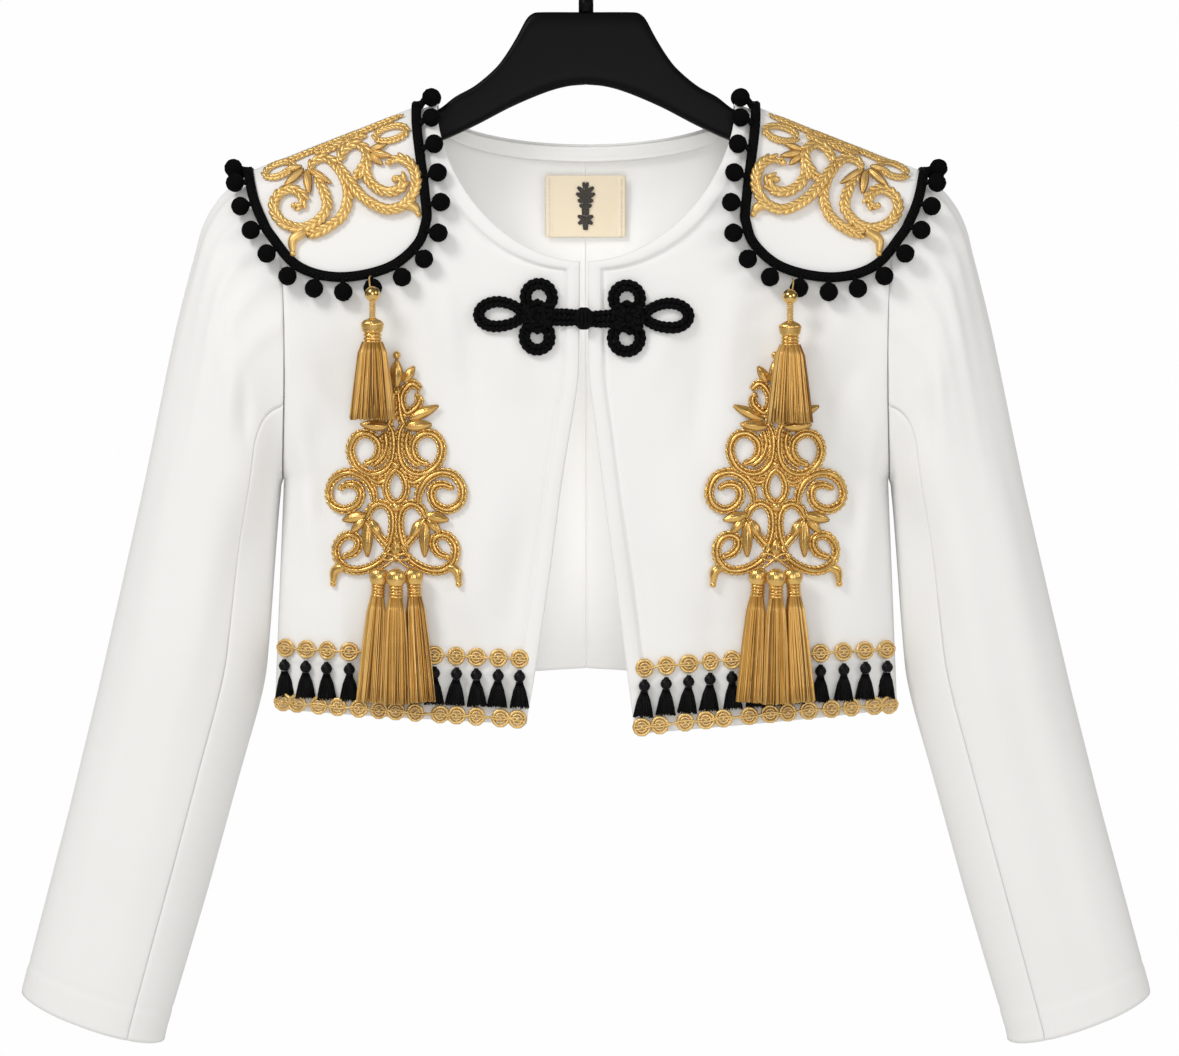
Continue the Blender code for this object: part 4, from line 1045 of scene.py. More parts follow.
def build_pompom_trim(side):
    path = flap_rim(side)
    outward, up = rim_frames(path, side)
    shape = Shape()
    plait(shape, path[::2], up[::2], 2.1, 0.55, 1.25, 9.0)
    for edge in (-1, 1):
        tube(shape, path[::2] + outward[::2] * edge * 2.9, 0.75, 5, True, up=up[::2])
    shape.make(f"black_braid_{side}", [BLACK])
    balls = Shape()
    line = path + outward * POMPOM_REACH
    gaps = np.linalg.norm(np.roll(line, -1, axis=0) - line, axis=1)
    walked = np.concatenate([[0], np.cumsum(gaps)])
    for k in range(POMPOMS):
        want = walked[-1] * ((k + POMPOM_START) / POMPOMS % 1.0)
        at = int(np.searchsorted(walked, want)) % len(path)
        centre = path[at] + outward[at] * POMPOM_REACH + up[at] * 1.5
        centre = above_shell(centre, POMPOM / 2)
        felt_ball(balls, centre, POMPOM / 2, 7.3 * k)
        start = path[at] + outward[at] * 2.0
        stalk = lerp(start, centre - outward[at] * 4.0, np.linspace(0, 1, 5)[:, None])
        tube(balls, stalk, [2.2, 2.0, 1.9, 2.0, 2.2], 8, slot=1)
    balls.make(f"pompoms_{side}", [FELT, BLACK], [f"pompom_braid_{side}"])


# ---- neck facing, label and hanger -----------------------------------------------------
def build_neck_facing():
    across = np.linspace(-1, 1, 90)[None, :]
    down = np.linspace(0.6, FACING_WIDTH, 10)[:, None]
    x = FACING_REACH * across
    z = NECK_Z - BACK_NECK_DROP * np.sqrt(1 - (x / NECK_X) ** 2) - down
    grid = []
    for half in (x[:, :45], x[:, 45:]):
        columns = slice(0, 45) if half[0, 0] < 0 else slice(45, 90)
        off = np.full(z[:, columns].shape, -(WALL + FACING_OFF))
        off += 0.25 * groove(down, FACING_WIDTH - 2.2, 0.7)
        point, _ = on_shell(np.broadcast_to(half, z[:, columns].shape), z[:, columns], 1,
                            off)
        grid.append(point)
    shape = Shape()
    wall(shape, np.concatenate(grid, axis=1), FACING_WALL, (0, 1, 0))
    made = shape.make("cloth_neck_facing", [FACING], ["back_neck_facing"])


LABEL_BOX = (-29.4, 28.6, -176.5, -220.5)
# Plain leafy sprig woven on the label.  columns: base, tip, width
LABEL_SPRIG = [((0.0, 12.5), (1.6, 17.2), 1.6), ((0.4, 9.5), (5.8, 13.8), 2.2),
               ((0.4, 6.5), (6.8, 9.2), 2.3), ((0.5, 4.0), (5.6, 4.2), 2.2),
               ((0.0, 9.8), (2.6, 3.0), 2.6), ((0.5, -0.4), (4.4, 0.9), 1.8),
               ((0.0, 4.0), (1.6, -6.4), 2.4), ((0.4, -8.8), (5.6, -7.0), 1.9),
               ((0.4, -9.6), (5.2, -12.6), 1.9), ((0.0, -9.0), (0.8, -17.0), 1.9)]


def label_point(x, z, off=0.0):
    """Point on the label's front, which faces the opening."""
    x, z, off = np.broadcast_arrays(x, z, off)
    depth = body_depth(x, z) + SEAM / 2 - (WALL + LABEL_OFF) - LABEL_WALL - off
    return np.stack([x, depth, z], axis=-1)


def build_label():
    left, right, top, low = LABEL_BOX
    x = np.linspace(left, right, 60)[None, :]
    z = np.linspace(top, low, 44)[:, None]
    curl = 0.35 * np.sin((x - left) / 9.0) * smooth((top - z) / 30.0)
    fold = 0.35 * (smooth((left + 5.2 - x) / 1.2) + smooth((x - right + 5.2) / 1.2))
    grid = label_point(x, z, clamp(fold + curl, -0.3, 0.9))
    shape = Shape()
    wall(shape, grid, LABEL_WALL, (0, -1, 0))
    made = shape.make("cloth_label", [LABEL], ["label"])
    thread = Shape()
    for edge in (left + 2.8, right - 2.8):
        for k in range(15):
            high = top - 2.0 - k * 2.85
            path = label_point([edge, edge, edge], [high, high - 0.9, high - 1.8],
                               np.array([0.35, 0.85, 0.35]))
            tube(thread, path, 0.28, 5)
    middle_x, middle_z = (left + right) / 2, (top + low) / 2
    for base, tip, width in LABEL_SPRIG:
        for half in (-1, 1):
            ends = label_point(middle_x + half * np.array([base[0], tip[0]]),
                               middle_z + np.array([base[1], tip[1]]), 0.3)
            leaf(thread, ends[0], ends[1], (0, -1, 0), width, 0.5, 1)
    stem = label_point(middle_x + np.zeros(30), middle_z + np.linspace(-15.0, 15.0, 30), 0.4)
    tube(thread, stem, 0.55, 6, slot=1)
    thread.make("label_threads", [STITCH, MOTIF])


HANGER_TOP = [(0.0, -61.9), (33.0, -61.9), (38.5, -63.0), (43.0, -67.0), (50.0, -80.0),
              (58.0, -93.0), (66.0, -103.0), (80.0, -114.8), (94.0, -122.6),
              (104.0, -130.4), (114.0, -135.4), (150.0, -149.2), (188.0, -163.8),
              (192.5, -167.0)]
HANGER_BOTTOM = [(194.0, -173.0), (191.0, -179.0), (184.0, -181.0), (150.0, -170.0),
                 (122.0, -160.8), (100.0, -152.4), (79.0, -142.6), (54.0, -129.6),
                 (30.0, -119.4), (14.0, -114.8), (0.0, -113.4)]
HANGER_HALF = 6.0
# Section of the hanger's front.  columns: share from its top to its foot, share of HANGER_HALF
HANGER_RING = [(0.0, 0.50), (0.015, 0.70), (0.05, 0.88), (0.12, 0.98), (0.22, 1.0),
               (0.50, 1.0), (0.80, 1.0), (0.90, 0.97), (0.96, 0.86), (1.0, 0.58)]
HOOK_REACH, HOOK_RADIUS, HOOK_MIDDLE_Z = 22.6, 3.55, -19.0
FERRULE_RADIUS = 5.35


def build_hanger():
    """Moulded hanger with a plain face and rounded edges."""
    share = np.linspace(0, 1, 120)
    edges = []
    for points in (HANGER_TOP, HANGER_BOTTOM[::-1]):
        line = even(spline(points, np.linspace(0, 1, 500)), 2.0)
        line = np.stack([np.interp(share, np.linspace(0, 1, len(line)), line[:, k])
                         for k in range(2)], axis=1)
        edges.append(np.vstack([line[::-1] * [-1, 1], line[1:]]))
    top, low = edges
    around = []
    for down, deep in HANGER_RING:
        line = lerp(top, low, down)
        around.append(np.stack([line[:, 0], np.full(len(line), -HANGER_HALF * deep),
                                line[:, 1]], axis=1))
    back = [points * [1, -1, 1] for points in around[::-1]]
    grid = np.stack(around + back, axis=1)
    shape = Shape()
    shape.add(grid.reshape(-1, 3), capped_faces(*grid.shape[:2]))
    shape.make("hanger_moulding", [PLASTIC], ["hanger_body"])
    foot = HANGER_TOP[0][1] + SEAM
    arc = [(HOOK_REACH * math.cos(a), HOOK_MIDDLE_Z + HOOK_REACH * math.sin(a))
           for a in np.radians(np.linspace(-60, 195, 90))]
    line = [(0, foot), (0, foot + 9), (0, foot + 10.4), (0.3, foot + 14),
            (3.9, foot + 18.8)] + arc
    path = np.array([(x, 0, z) for x, z in line])
    radius = np.full(len(path), HOOK_RADIUS)
    radius[:2] = FERRULE_RADIUS
    hook = Shape()
    tube(hook, path, radius, 24)
    hook.make("hook_rod", [PLASTIC], ["hanger_hook"])


# ---- tassels ---------------------------------------------------------------------------
def skirt(shape, top, lean, profile, start, count, thread, flat, chance, uneven=1.2,
          slots=(0,), levels=8):
    """Threads that hang from the tassel's neck and spread along its profile."""
    along, across, deep = tassel_axes(lean)
    layers = (1.0, 0.86)
    drops, radii = zip(*profile)
    end = drops[-1]
    for k in range(count):
        turn = 2 * math.pi * (k + chance.uniform(-0.3, 0.3)) / count
        share = layers[k % len(layers)] * chance.uniform(0.95, 1.02)
        length = end - chance.uniform(0, uneven)
        drop = np.linspace(start, length, levels)
        low = (drop - start) / (length - start)
        drift = chance.uniform(-0.10, 0.10)
        sway = chance.uniform(-0.035, 0.035)
        phase = chance.uniform(0, 6.28)
        angle = turn + drift * low ** 2 + sway * np.sin(3.5 * low + phase)
        radius = (np.interp(drop, drops, radii) - thread) * share
        path = (np.asarray(top) + along * drop[:, None]
                + across * (radius * np.cos(angle))[:, None]
                + deep * (radius * flat * np.sin(angle))[:, None])
        tube(shape, path, thread * chance.uniform(0.8, 1.15), 3,
             slot=slots[chance.randrange(len(slots))])


def rings(shape, top, lean, drops, radius, thick, flat, sides=32):
    """Cord wound round a tassel's neck."""
    along, across, deep = tassel_axes(lean)
    turn = full_turn(sides)
    for drop in drops:
        path = (np.asarray(top) + along * drop + across * radius * np.cos(turn)[:, None]
                + deep * radius * flat * np.sin(turn)[:, None])
        tube(shape, path, thick, 6, True, up=along)


def ribbed_dome(shape, top, lean, profile, flat, ribs):
    """Turned head covered with fine upright threads."""
    along, across, deep = tassel_axes(lean)
    sides = ribs * 3
    turn = full_turn(sides)
    rib = 1 + 0.022 * np.cos(ribs * turn)
    drops = np.linspace(profile[0][0], profile[-1][0], 18)
    radii = soft_table(profile, drops, 0.8)
    grid = [np.asarray(top) + along * drop
            + (across * (radius * rib * np.cos(turn))[:, None]
               + deep * (radius * rib * flat * np.sin(turn))[:, None])
            for drop, radius in zip(drops, radii)]
    shape.add(np.concatenate(grid), capped_faces(len(grid), sides))


LONG_TASSEL = [(0.0, 1.6), (1.0, 4.3), (2.6, 5.9), (5.0, 6.8), (7.6, 6.9), (10.0, 6.0),
               (12.4, 4.6), (21.5, 5.2), (25.0, 6.8), (55.0, 8.8), (96.0, 10.2)]
SHORT_TASSEL = [(0.0, 1.6), (1.5, 5.8), (4.0, 8.0), (7.5, 7.2), (9.5, 6.8), (16.5, 7.2),
                (20.0, 10.0), (45.0, 13.4), (72.0, 16.6)]
TASSEL_X, TASSEL_TOP_Z = 134.2, -461.0
TASSEL_SPREAD = (11.6, 18.2)
TASSEL_OFF = {"middle": (16.6, 15.2, 0.8), "side": (10.2, 14.2, 0.0)}
EPAULETTE_TASSEL = {"left": (150.4, -268.0), "right": (143.8, -270.0)}
BEAD_RADIUS = 5.5
STEM_DROP = 22.2      # from the bead's top to the tassel's head
BEAD_LOOP = [(1.6, 0.6, 4.4), (2.2, 3.0, 8.0), (2.6, 8.0, 11.6), (2.0, 12.0, 13.2)]


def build_long_tassels(side):
    chance = random.Random(11 if side == "left" else 23)
    for k, place in ((-1, "inner"), (0, "middle"), (1, "outer")):
        depth = -float(body_depth(TASSEL_X, TASSEL_TOP_Z))
        head_off, end_off, lower = TASSEL_OFF["middle" if k == 0 else "side"]
        top = np.array([SIGN[side] * (TASSEL_X + k * TASSEL_SPREAD[0]), depth - head_off,
                        TASSEL_TOP_Z - lower])
        end = np.array([SIGN[side] * (TASSEL_X + k * TASSEL_SPREAD[1]), depth - end_off,
                        top[2] - LONG_TASSEL[-1][0]])
        lean = end - top
        shape = Shape()
        ribbed_dome(shape, top, lean, LONG_TASSEL[:7], 0.70, 24)
        turned(shape, [(11.6, 4.3), (21.6, 4.3)], top, lean, 24, 0.70)
        rings(shape, top, lean, (13.4, 15.6, 17.8, 20.0), 4.35, 1.05, 0.74)
        # The core is the shaded rayon, painted shade between the threads; the threads take the
        # lit, middle and shaded copies at random.
        core = [(20.0, 3.6), (27.0, 4.9), (55.0, 6.2), (93.0, 7.6)]
        turned(shape, core, top, lean, 18, 0.66, slot=3)
        skirt(shape, top, lean, LONG_TASSEL, 20.6, 96, 0.62, 0.70, chance,
              slots=(1, 1, 2, 2, 3))
        shape.make(f"gold_tassel_{place}_{side}", [GOLD] + RAYONS,
                   [f"long_tassel_{place}_{side}"])


def build_epaulette_tassel(side):
    chance = random.Random(5 if side == "left" else 17)
    x, z = EPAULETTE_TASSEL[side]
    y = -float(body_depth(x, z)) - POMPOM - BEAD_RADIUS - STAND_OFF
    centre = np.array([SIGN[side] * x, y, z])
    bead = Shape()
    profile = [(BEAD_RADIUS * (1 - math.cos(a)), BEAD_RADIUS * math.sin(a))
               for a in np.linspace(0.28, 2.72, 20)]
    turned(bead, profile, centre + [0, 0, BEAD_RADIUS], (0, 0, -1), 36)
    turn = full_turn(20)
    for drop in np.linspace(5.2, 16.8, 9):
        ring = np.stack([1.75 * np.cos(turn), 1.75 * np.sin(turn), np.full(20, -drop)], axis=1)
        tube(bead, centre + ring, 0.72, 6, True, up=(0, 0, 1), slot=1)
    loop = curve([centre + [SIGN[side] * x, y, z] for x, y, z in BEAD_LOOP], 0.8)
    tube(bead, loop, 0.6, 6, slot=1)
    bead.make(f"gold_bead_{side}", [BEAD, PALE_GOLD],
              [f"epaulette_bead_{side}"])
    top = centre + [0, 0, BEAD_RADIUS - STEM_DROP - SEAM]
    lean = (0, 0.06, -1)
    shape = Shape()
    ribbed_dome(shape, top, lean, SHORT_TASSEL[:5], 0.66, 32)
    turned(shape, [(8.6, 5.6), (17.6, 5.7)], top, lean, 28, 0.66)
    rings(shape, top, lean, (9.6, 12.1, 14.6, 16.8), 5.6, 1.05, 0.66)
    # The core is the shaded rayon, painted shade between the threads; the threads take the lit,
    # middle and shaded copies at random.
    core = [(16.6, 4.8), (20.0, 6.0), (45.0, 9.6), (70.0, 13.4)]
    turned(shape, core, top, lean, 20, 0.58, slot=3)
    skirt(shape, top, lean, SHORT_TASSEL, 16.8, 190, 0.58, 0.62, chance,
          slots=(1, 1, 2, 2, 3))
    shape.make(f"gold_epaulette_tassel_{side}", [GOLD] + RAYONS,
               [f"epaulette_tassel_{side}"])


# ---- gold cord on the epaulettes -------------------------------------------------------
LINK_PITCH, LINK_SLANT = 5.2, 24
LINK_HALF = (1.95, 1.6, 4.5)      # half width, thickness and length of a link
# Lines of the scrollwork on one lobe.  columns: distance out, height
FLAP_CORDS = [
    [(196.7, -178.3), (194.6, -171.8), (186.0, -169.0), (177.5, -175.4), (171.1, -186.1),
     (168.9, -198.2), (173.2, -211.8), (186.0, -221.7), (198.0, -226.0)],
    [(193.2, -183.0), (186.5, -193.0), (183.9, -205.3), (190.3, -215.3), (201.7, -220.3),
     (214.6, -216.7), (221.7, -206.8), (219.5, -196.8), (211.7, -192.0), (203.9, -194.4),
     (200.6, -200.3), (203.4, -205.2), (207.6, -203.9)],
    [(176.8, -173.0), (166.8, -188.2), (156.8, -199.6), (141.8, -207.2), (129.7, -204.6),
     (122.4, -196.1), (120.4, -185.4), (124.3, -175.4), (132.6, -170.4), (140.5, -173.4)],
    [(154.7, -168.0), (156.6, -179.0), (152.5, -188.2), (143.3, -194.2), (134.0, -193.6),
     (129.4, -188.6), (131.6, -184.0), (135.8, -185.6)],
    [(176.0, -172.0), (172.5, -163.3), (164.7, -159.0), (157.0, -163.6), (156.4, -171.8),
     (160.6, -179.7), (163.9, -184.6)],
]
FLAP_CORD_OFF = (1.9, 2.4, 3.5, 2.2, 2.8)     # of each line above the flap
# Lines that run along the ridge; heights are as drawn on the front lobe.
RIDGE_CORDS = [
    [(131.9, -137.6), (146.8, -143.8), (159.7, -149.2), (171.8, -153.6), (186.0, -159.2),
     (200.3, -164.8), (211.0, -169.4), (223.1, -173.0)],
    [(158.0, -152.6), (164.0, -155.4), (171.8, -156.4), (179.0, -160.6), (186.5, -163.6),
     (194.0, -164.6)],
]
# Loops beside the ridge.  columns: distance out, height, half width, half height, turn
RIDGE_LOOPS = [(139.3, -151.6, 11.2, 5.2, 14.0), (219.6, -177.0, 10.2, 4.8, 20.0),
               (188.5, -161.4, 6.4, 2.3, 21.0), (167.0, -152.6, 6.2, 2.2, 21.0)]
THIN_LOOP = 3.0     # loops lower than this are a thin twist, the others are rope
# Tapered horns at the scrolls' ends: three points each
FLAP_HORNS = [[(199.0, -222.6), (207.6, -228.6), (207.6, -238.6)],
              [(128.2, -203.6), (121.6, -205.6), (118.6, -210.6)]]
# Leaves: base, tip, width
FLAP_LEAVES = [((201.7, -176.8), (214.9, -189.4), 5.0), ((199.6, -177.6), (196.6, -195.4), 5.2),
               ((198.0, -176.4), (181.2, -188.0), 4.4), ((203.0, -174.6), (216.8, -178.4), 4.0),
               ((154.7, -163.8), (142.2, -159.8), 4.2), ((153.0, -165.4), (138.4, -168.6), 4.6),
               ((154.2, -166.6), (144.8, -174.8), 4.0)]


def leaf(shape, base, tip, up, width, high, slot=0):
    """Padded almond leaf with a raised midrib and a corded edge."""
    base, tip, up = (np.asarray(v, float) for v in (base, tip, up))
    along = tip - base
    side = np.cross(along, up)
    side /= np.linalg.norm(side)
    t = np.linspace(0.0, 1.0, 12)
    swell = np.sin(math.pi * t ** 0.85) ** 0.8 * width / 2 + 0.25
    turn = full_turn(24)
    ridge = 0.20 * np.cos(8 * turn) + 0.30 * np.abs(np.sin(turn)) ** 10
    rise = np.where(np.sin(turn) > 0, np.sin(turn) * (1 + ridge), 0.35 * np.sin(turn))
    high = high * (0.35 + 0.65 * np.sin(math.pi * t))
    grid = ((base + along * t[:, None])[:, None]
            + side * np.outer(swell, np.cos(turn))[..., None]
            + up * np.outer(high, rise)[..., None])
    shape.add(grid.reshape(-1, 3), capped_faces(len(t), 24), slot)
    for edge in (-1, 1):
        line = base + along * t[:, None] + side * (edge * swell)[:, None] + up * 0.25
        line = even(line, 0.7)
        beads = 0.55 + 0.12 * np.cos(2 * math.pi * np.arange(len(line)) * 0.7 / 1.8)
        # In the gold work the second material is the darker gold, so the edge cords carry
        # painted shade along the leaf's rim as well as a darker thread.
        tube(shape, line, beads, 5, up=up, slot=1)


def horn(shape, points, up, radius):
    """Tapered padded end with a small knob."""
    line = curve(points, 0.7)
    share = np.linspace(0, 1, len(line))
    size = radius * (0.75 + 0.45 * np.sin(math.pi * share ** 0.8) - 0.25 * share)
    tube(shape, line, size, 10, up=up, flat=0.85)
    ball(shape, line[-1], radius * 0.72, 8, 12)


def rope(shape, path, up, size=1.0, closed=False):
    """Wheat-ear cord: almond links laid in two slanting rows over a core."""
    along, across, lift = path_frame(path, up, closed)
    step = np.linalg.norm(path[1] - path[0])
    count = max(3, int(round(len(path) * step / (LINK_PITCH * size))))
    # The core takes the darker gold: painted shade in the gaps between the links.
    tube(shape, path, 1.6 * size, 6, closed, up=lift, slot=1)
    points, faces = ball_grid(6, 8)
    for k in range(2 * count):
        at = (k + 0.5) / (2 * count) * (len(path) - 1)
        n = int(at)
        way = 1 if k % 2 else -1
        ends = 1.0
        if not closed:
            share = (k + 0.5) / (2 * count)
            ends = 0.62 + 0.38 * float(smooth(min(share, 1 - share) * 10))
        slant = math.radians(LINK_SLANT) * way
        length = along[n] * math.cos(slant) + across[n] * math.sin(slant)
        width = np.cross(length, lift[n])
        centre = path[n] + across[n] * way * 1.65 * size * ends + lift[n] * 0.8 * size
        held = points * LINK_HALF @ np.array([width, lift[n], length])
        shape.add(centre + held * size * ends, faces)


def build_flap_scrolls(side, face):
    shape = Shape()

    def placed(points, off):
        points = np.asarray(points, float)
        return on_flap(side, points[:, 0], points[:, 1], face, off)

    for k, points in enumerate(FLAP_CORDS):
        path = placed(curve(points, 1.0), FLAP_CORD_OFF[k])
        rope(shape, path, flap_up(path))
        if k > 0:      # the first line ends in a horn
            ball(shape, path[-1], 2.3, 8, 12)
    for points in RIDGE_CORDS:
        path = placed(curve(points, 1.0), 1.7)
        rope(shape, path, flap_up(path), 0.74)
    for out, high, wide, tall, lean in RIDGE_LOOPS:
        loop = even_loop(oval(out, high, wide, tall, -lean, 72), 1.0)
        if tall > THIN_LOOP:
            path = placed(loop, 1.8)
            rope(shape, path, flap_up(path), 0.72, True)
        else:
            path = placed(loop, 2.6)
            twist(shape, path, flap_up(path), 0.8, 0.9, 4.5, True)
    for points in FLAP_HORNS:
        path = placed(points, 2.6)
        horn(shape, path, flap_up(path[1]), 3.3)
    for base, tip, width in FLAP_LEAVES:
        ends = placed([base, tip], 2.6)
        leaf(shape, ends[0], ends[1], flap_up(ends.mean(axis=0)), width, 2.2)
    name = f"{PLACE[face]}_{side}"
    shape.make("gold_scrolls_" + name, [ROPE_GOLD, DARK_GOLD_AND_SHADE],
               ["epaulette_scroll_" + name])


# ---- scroll motif on each front --------------------------------------------------------
SCROLL_X, SCROLL_FOOT = 134.4, -454.0
# Lines of one half.  columns: distance from the axis, height above the foot.
# Each line has its height off the cloth.
MOTIF_CORDS = [
    (2.4, [(17.4, 119.2), (11.0, 123.4), (4.9, 117.6), (3.9, 109.8), (7.4, 102.7),
           (13.1, 105.6), (16.4, 110.5), (14.9, 115.3)]),
    (1.6, [(1.1, 121.0), (2.3, 109.1), (3.2, 100.6), (6.4, 93.0)]),
    (2.2, [(5.6, 95.0), (2.6, 89.0), (1.6, 77.9), (3.9, 67.3), (11.0, 60.4), (20.2, 59.9),
           (28.7, 65.9), (32.4, 76.5), (28.7, 85.7), (20.9, 88.2), (13.5, 83.6),
           (11.9, 75.8), (15.4, 69.6), (21.8, 66.6)]),
    (1.4, [(8.4, 90.0), (6.9, 80.4), (9.8, 71.4), (17.0, 64.9)]),
    (2.4, [(15.2, 37.6), (16.4, 46.8), (22.3, 56.0), (32.2, 60.6), (42.2, 57.4),
           (47.3, 47.5), (45.0, 38.3), (36.5, 34.0), (28.0, 37.6), (24.9, 44.6),
           (27.2, 50.6), (33.4, 52.0), (39.4, 49.6)]),
    (1.5, [(6.4, 55.6), (12.0, 53.4), (17.0, 55.2), (22.0, 59.4)]),
    (2.4, [(7.2, 4.6), (3.5, 14.2), (2.1, 24.8), (4.0, 34.0), (10.3, 38.4), (17.2, 35.4),
           (20.9, 28.3)]),
    (1.6, [(20.4, 27.6), (12.4, 15.6), (2.5, 4.4)]),
    (2.2, [(4.0, 6.4), (11.7, -3.1), (23.0, -8.5), (33.7, -8.3), (40.7, -2.1), (42.2, 7.1),
           (37.9, 14.2), (32.2, 16.1), (27.4, 13.8), (26.6, 8.6), (30.0, 3.3),
           (36.5, 0.6)]),
]
MOTIF_RING = [(0.0, 63.0), (4.6, 58.4), (7.2, 50.3), (5.2, 42.5), (0.0, 39.0)]
# Leaves of one half: base, tip, width
MOTIF_LEAVES = [((8.9, 98.0), (30.1, 107.7), 6.2), ((6.0, 93.0), (25.2, 94.4), 6.8),
                ((5.2, 124.6), (12.6, 135.4), 5.6), ((20.9, 30.5), (37.4, 26.6), 6.6),
                ((22.0, 27.8), (31.7, 17.6), 5.2), ((20.4, 26.0), (20.2, 0.4), 6.6),
                ((17.6, 26.4), (11.4, 14.8), 5.8)]
MOTIF_BUDS = [((0.0, 120.6), (0.0, 140.4), 8.2), ((0.0, 0.2), (0.0, 13.4), 6.2)]
MOTIF_BEADS = [(0.0, 143.2, 2.9), (0.0, 65.6, 3.1), (0.0, 36.2, 4.0), (0.0, 117.4, 2.2),
               (0.0, 0.0, 3.3)]
MOTIF_HORN = [(36.6, -6.4), (43.2, -9.4), (44.8, -18.8)]
# Bow and cord that tie on the long tassels: height off the cloth, radius, line of one half
TASSEL_TIES = [(4.6, 1.05, [(1.0, 1.6), (7.6, 3.0), (9.2, -0.6), (4.6, -1.6), (1.0, -0.4)]),
               (5.0, 0.90, [(1.5, -1.0), (5.4, -4.4), (9.6, -7.6), (10.6, -10.4)])]


CORD_STEP, BEAD_PITCH = 0.85, 3.6


def gimp(shape, path, up, size=1.0, closed=False):
    """Padded cord between two beaded edge cords."""
    _, across, lift = path_frame(path, up, closed)
    count = len(path)
    grow = np.full(count, size)
    if not closed:
        share = np.linspace(0, 1, count)
        grow = size * (0.72 + 0.28 * smooth(np.minimum(share, 1 - share) * 9))
    turn = 2 * math.pi * np.arange(count) * CORD_STEP / BEAD_PITCH
    for edge in (-1, 1):
        beads = 1 + 0.36 * np.cos(turn + edge * 0.9)
        tube(shape, path + across * (edge * 2.15 * grow)[:, None], 1.15 * grow * beads, 5,
             closed, up=lift)
    # The core under the padded cord is the darker gold: painted shade in the grooves beside it,
    # partly a darker thread.
    tube(shape, path, 2.0 * grow, 5, closed, up=lift, slot=1)
    tube(shape, path + lift * (1.25 * grow)[:, None], 1.2 * grow, 7, closed, up=lift)


def build_motif(side):
    shape = Shape()

    def placed(points, off, half=1):
        points = np.asarray(points, float)
        return on_shell(SIGN[side] * (SCROLL_X + half * points[:, 0]),
                        SCROLL_FOOT + points[:, 1], -1, np.full(len(points), off))

    for half in (-1, 1):
        for off, points in MOTIF_CORDS:
            path, up = placed(curve(points, CORD_STEP), off, half)
            gimp(shape, path, up, 1.06)
            if len(points) > 7:      # the long lines end in a ball
                ball(shape, path[-1], 2.0, 8, 12)
        for base, tip, width in MOTIF_LEAVES:
            ends, up = placed([base, tip], 3.0, half)
            leaf(shape, ends[0], ends[1], up.mean(axis=0), width, 2.2)
        path, up = placed(MOTIF_HORN, 2.4, half)
        horn(shape, path, up[1], 3.2)
        for off, radius, points in TASSEL_TIES:
            path, up = placed(curve(points, 0.75), off, half)
            tube(shape, path, radius, 6, up=up)
    ring = np.array(MOTIF_RING + [(-x, z) for x, z in MOTIF_RING[-2:0:-1]] + MOTIF_RING[:1])
    path, up = placed(even(spline(ring, np.linspace(0, 1, 400)), 0.75)[:-1], 2.6)
    gimp(shape, path, up, 0.92, True)
    for base, tip, width in MOTIF_BUDS:
        ends, up = placed([base, tip], 3.2)
        leaf(shape, ends[0], ends[1], up.mean(axis=0), width, 3.0)
    for out, high, radius in MOTIF_BEADS:
        centre, _ = placed([(out, high)], 3.2)
        ball(shape, centre[0], radius, 10, 14)
    shape.make(f"gold_motif_{side}", [GOLD, DARK_GOLD_AND_SHADE], [f"scroll_motif_{side}"])


# ---- hem trim --------------------------------------------------------------------------
ROSETTE, ROSETTES = 14.2, 12
ROSETTE_RINGS = [(5.55, 1.2, 0.0), (3.35, 0.85, 0.3)]     # radius, cord's radius, rise
# Distance out of the first and last rosette, height of the first and last
ROSETTE_ROWS = {
    ("left", "upper"): (213.5, 47.0, -518.8, -525.8),
    ("left", "lower"): (214.5, 48.5, -557.5, -568.6),
    ("right", "upper"): (213.5, 41.5, -519.8, -532.4),
    ("right", "lower"): (214.5, 39.5, -559.5, -574.2),
}


def rosette_row(side, row, along):
    """Distance out and height of a place along a row of rosettes."""
    first_x, last_x, first_z, last_z = ROSETTE_ROWS[(side, row)]
    along = np.asarray(along, float)
    dip = clamp(along, 0, 2) ** 1.4 if side == "right" else along
    return lerp(first_x, last_x, along), lerp(first_z, last_z, dip)


def rosette_stations(row):
    """Places of the rosettes along a row, the lower row a little uneven."""
    if row == "upper":
        return np.arange(ROSETTES) / (ROSETTES - 1)
    chance = random.Random(3)
    wobble = np.array([chance.uniform(-0.012, 0.012) for _ in range(ROSETTES)])
    return np.concatenate([[0.0], np.linspace(0.066, 1.0, ROSETTES) + wobble])


